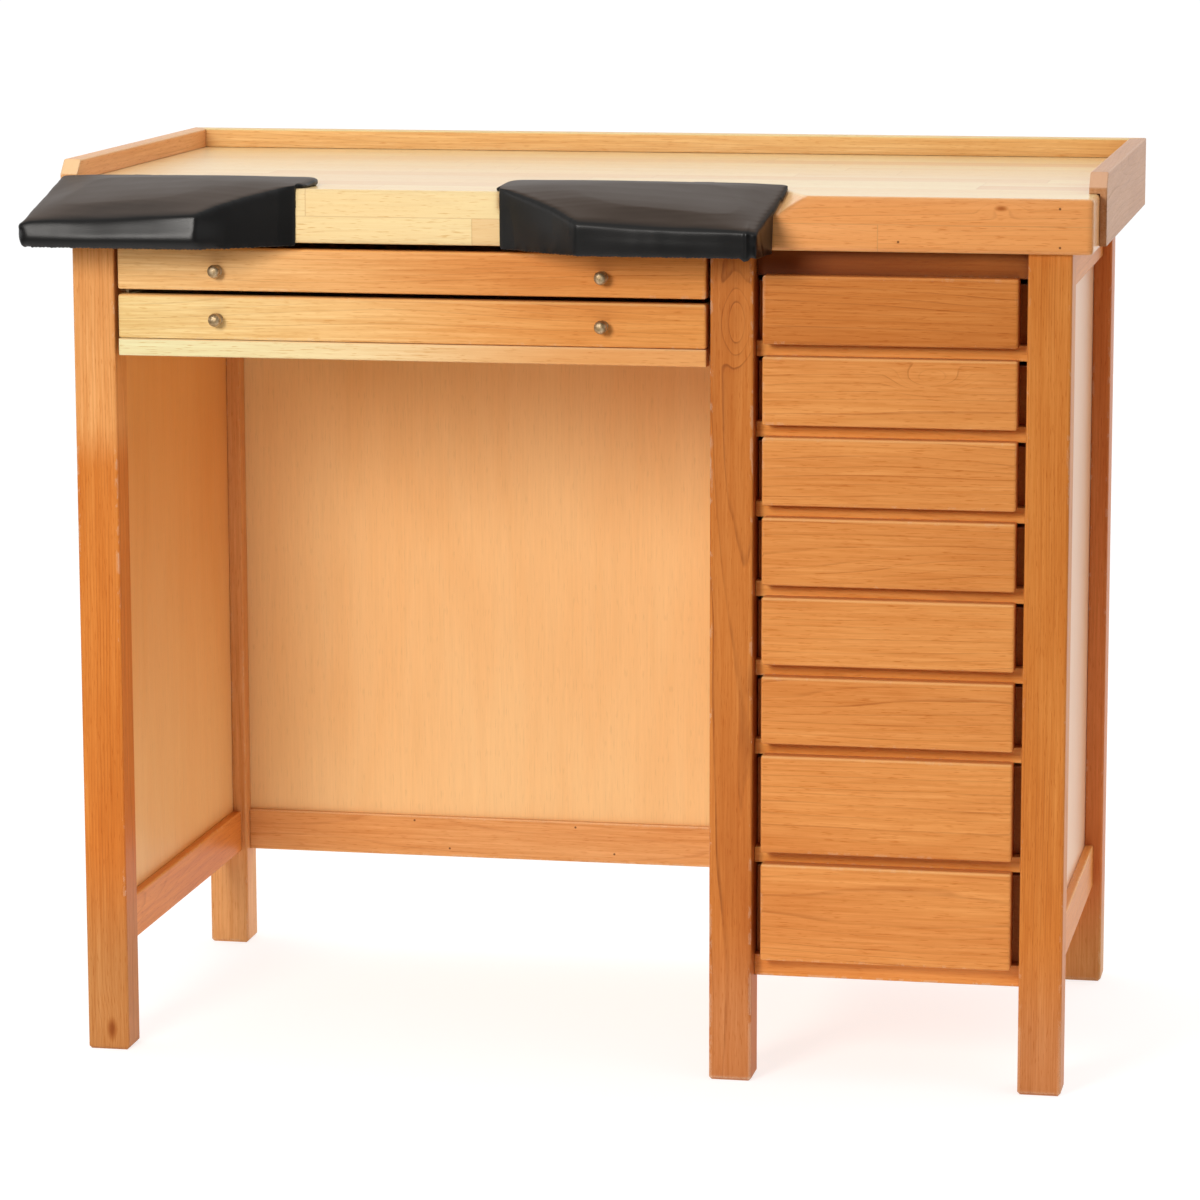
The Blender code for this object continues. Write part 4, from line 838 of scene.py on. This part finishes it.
def filled_pad(word):
    """The pad's solid with its block filled in, as one even skin."""
    shape = bmesh.new()
    shape.from_mesh(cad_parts[f"{word}_armrest_block"].data)
    bmesh.ops.remove_doubles(shape, verts=shape.verts[:], dist=1e-5)
    shape.normal_update()
    for vert in shape.verts:
        vert.co += pad_over_block * vert.normal
    shape.from_mesh(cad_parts[f"{word}_armrest_pad"].data)
    bmesh.ops.remove_doubles(shape, verts=shape.verts[:], dist=1e-5)
    mesh = bpy.data.meshes.new(f"{word}_padded_cover")
    shape.to_mesh(mesh)
    shape.free()
    pad = bpy.data.objects.new(f"{word}_padded_cover", mesh)
    bpy.context.scene.collection.objects.link(pad)
    remesh = pad.modifiers.new("remesh", "REMESH")
    remesh.mode = "VOXEL"
    remesh.voxel_size = pad_voxel
    settle(pad)
    evened(pad, 8)
    return pad


def swollen(pad, held):
    """Blows the cover up as cloth where it is free, and caps how far a point may move."""
    start = points_of(pad)
    pins = pad.vertex_groups.new(name="held")
    pins.add(np.nonzero(held)[0].tolist(), 1.0, "REPLACE")
    cloth = pad.modifiers.new("cover", "CLOTH")
    cloth.settings.quality = 5
    cloth.settings.mass = 0.3
    cloth.settings.tension_stiffness = 25.0
    cloth.settings.compression_stiffness = 25.0
    cloth.settings.bending_stiffness = 2.0
    cloth.settings.use_pressure = True
    cloth.settings.uniform_pressure_force = pad_pressure
    cloth.settings.vertex_group_mass = "held"
    cloth.settings.effector_weights.gravity = 0.0
    for number in range(1, pad_cloth_steps + 1):
        bpy.context.scene.frame_set(number)
    settle(pad)
    bpy.context.scene.frame_set(1)
    way = points_of(pad) - start
    mean = neighbours_of(pad)
    for turn in range(pad_way_rounds):
        way = np.where(held[:, None], 0.0, mean(way))
    far = np.linalg.norm(way, axis=1)
    way *= np.minimum(1.0, pad_swell_cap / np.maximum(far, 1e-9))[:, None]
    reshape(pad, start + way)


def share(values, start, stop):
    """How far values have gone from a start to a stop, from none to all."""
    return np.clip((values - start) / (stop - start), 0.0, 1.0)


def stretched_to_solid(points, low, high):
    """Brings a pad back to its solid's width and depth."""
    least, most = points.min(0), points.max(0)
    wider = (high.x - low.x) / (most[0] - least[0])
    deeper = (high.y - low.y) / (most[1] - least[1])
    points[:, 0] = low.x + (points[:, 0] - least[0]) * wider
    points[:, 1] = high.y + (points[:, 1] - most[1]) * deeper


def straightened_wall(points, inner_edge, outward, flare):
    """Draws the inner end, where it meets the worktop's face, onto its flared wall."""
    wall = flare * np.clip(bed_front - 0.0016 - points[:, 1], 0.0, None)
    short = outward * (points[:, 0] - inner_edge) - wall
    at_bench = share(points[:, 1], bed_front - 0.012, bed_front - 0.004)
    at_bench *= share(points[:, 1], bed_front + 0.007, bed_front + 0.005)
    points[:, 0] -= outward * short * at_bench * share(short, 0.016, 0.006)


def laid_lap(points, facing, from_end, low, high, outward):
    """Lays the lap a little askew on the worktop, and sweeps out the left pad's outer side."""
    lap = share(points[:, 1], bed_front, high.y)
    points[:, 0] += 0.006 * lap * share(from_end, 0.060, 0.0)
    if outward < 0:
        along = share(points[:, 1], low.y, bed_front)
        points[:, 0] -= 0.0045 * (along + lap) * share(points[:, 0], low.x + 0.080, low.x)
    points[:, 2] += 0.002 * lap * (facing[:, 2] > 0.2)


def drawn_front(pad, points, facing, behind, beside, low, outward):
    """Draws the cover over the front: a round belly on the left, a lean and a pleat on the right."""
    depth = share(points[:, 2], low.z + pad_front_height, low.z)
    front = np.clip(-facing[:, 1], 0.0, 1.0) * (facing[:, 2] > -0.3)
    side = np.clip(outward * facing[:, 0], 0.0, 1.0) * (facing[:, 2] > -0.3)
    ripple = np.sin(points[:, 0] * 231.0 + 1.7 * np.sin(points[:, 0] * 61.0))
    ripple_height = 0.00006 if outward < 0 else 0.00018
    fold = behind - 0.006 - 0.026 * depth
    tuck = np.exp(-((np.where(fold < 0.0, fold / 0.0045, fold / 0.0020)) ** 2))
    tuck *= share(outward * facing[:, 0], 0.32, 0.72)
    swell = (ripple_height * ripple * front - pad_tuck_in * tuck) * (0.3 + 0.7 * depth)
    points += swell[:, None] * facing
    front *= share(points[:, 1], low.y + 0.020, low.y + 0.006)
    if outward < 0:
        belly = share(depth, 0.0, 0.68) - 0.9 * share(depth, 0.42, 1.0) ** 2
        round_side = np.clip(1.0 - ((depth - 0.55) / 0.55) ** 2, 0.0, 1.0)
        points[:, 1] -= pad_belly_out * belly * front
        points[:, 0] -= pad_side_out * round_side * side * share(behind, 0.050, 0.0)
    else:
        points[:, 1] -= pad_lean_out * (1.0 - depth) * front
    near_front = share(points[:, 1], low.y + 0.024, low.y + 0.012)[:, None]
    mean = neighbours_of(pad)
    for turn in range(pad_soft_rounds):
        points += 0.5 * near_front * (mean(points) - points)
    if outward > 0:
        pleat = np.exp(-(((beside - 0.011) / 0.0022) ** 2)) * front * share(behind, -0.02, 0.0)
        points += pad_pleat_out * pleat[:, None] * facing


def stapled_hem(points, behind, beside, low, outward):
    """Makes the hem a little ragged, with a loose tab under the right pad's corner."""
    across = points[:, 0]
    hem = share(points[:, 2], low.z + 0.005, low.z)
    ragged = np.sin(across * 420.0) * np.sin(across * 137.0 + 0.8) + np.sin(across * 1511.0)
    points[:, 2] += 0.00035 * ragged * hem
    tab = np.exp(-(((beside - 0.012) / 0.0045) ** 4)) * (behind < 0.012)
    points[:, 2] -= pad_tab_drop * tab * hem * (outward > 0)


for word, outward, flare, trim in (("left", -1.0, 1.17, 0.0090), ("right", 1.0, 1.40, 0.0055)):
    pad = filled_pad(word)
    low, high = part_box(f"{word}_armrest_pad")
    facing = normals_of(pad)
    points = points_of(pad)
    resting = (facing[:, 1] > 0.6) & (points[:, 1] < bed_front + 0.006)
    held = (facing[:, 2] < -0.4) | resting
    points[~held] -= pad_start * facing[~held]
    reshape(pad, points)
    swollen(pad, held)
    finer = pad.modifiers.new("finer", "SUBSURF")
    finer.levels = 1
    finer.render_levels = 1
    settle(pad)
    evened(pad, 3)
    points = points_of(pad)
    facing = normals_of(pad)
    stretched_to_solid(points, low, high)
    inner_end = low.x if outward > 0 else high.x
    from_end = outward * (points[:, 0] - inner_end)
    straightened_wall(points, inner_end + outward * trim, outward, flare)
    laid_lap(points, facing, from_end, low, high, outward)
    corner = points[np.argmax(outward * points[:, 0] - points[:, 1])]
    behind = points[:, 1] - corner[1]
    beside = outward * (corner[0] - points[:, 0])
    drawn_front(pad, points, facing, behind, beside, low, outward)
    stapled_hem(points, behind, beside, low, outward)
    reshape(pad, points)
    pad.data.shade_smooth()
    pad.data.materials.clear()
    pad.data.materials.append(leatherette)
    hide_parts(f"{word}_armrest_pad")
    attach(pad, "frame")
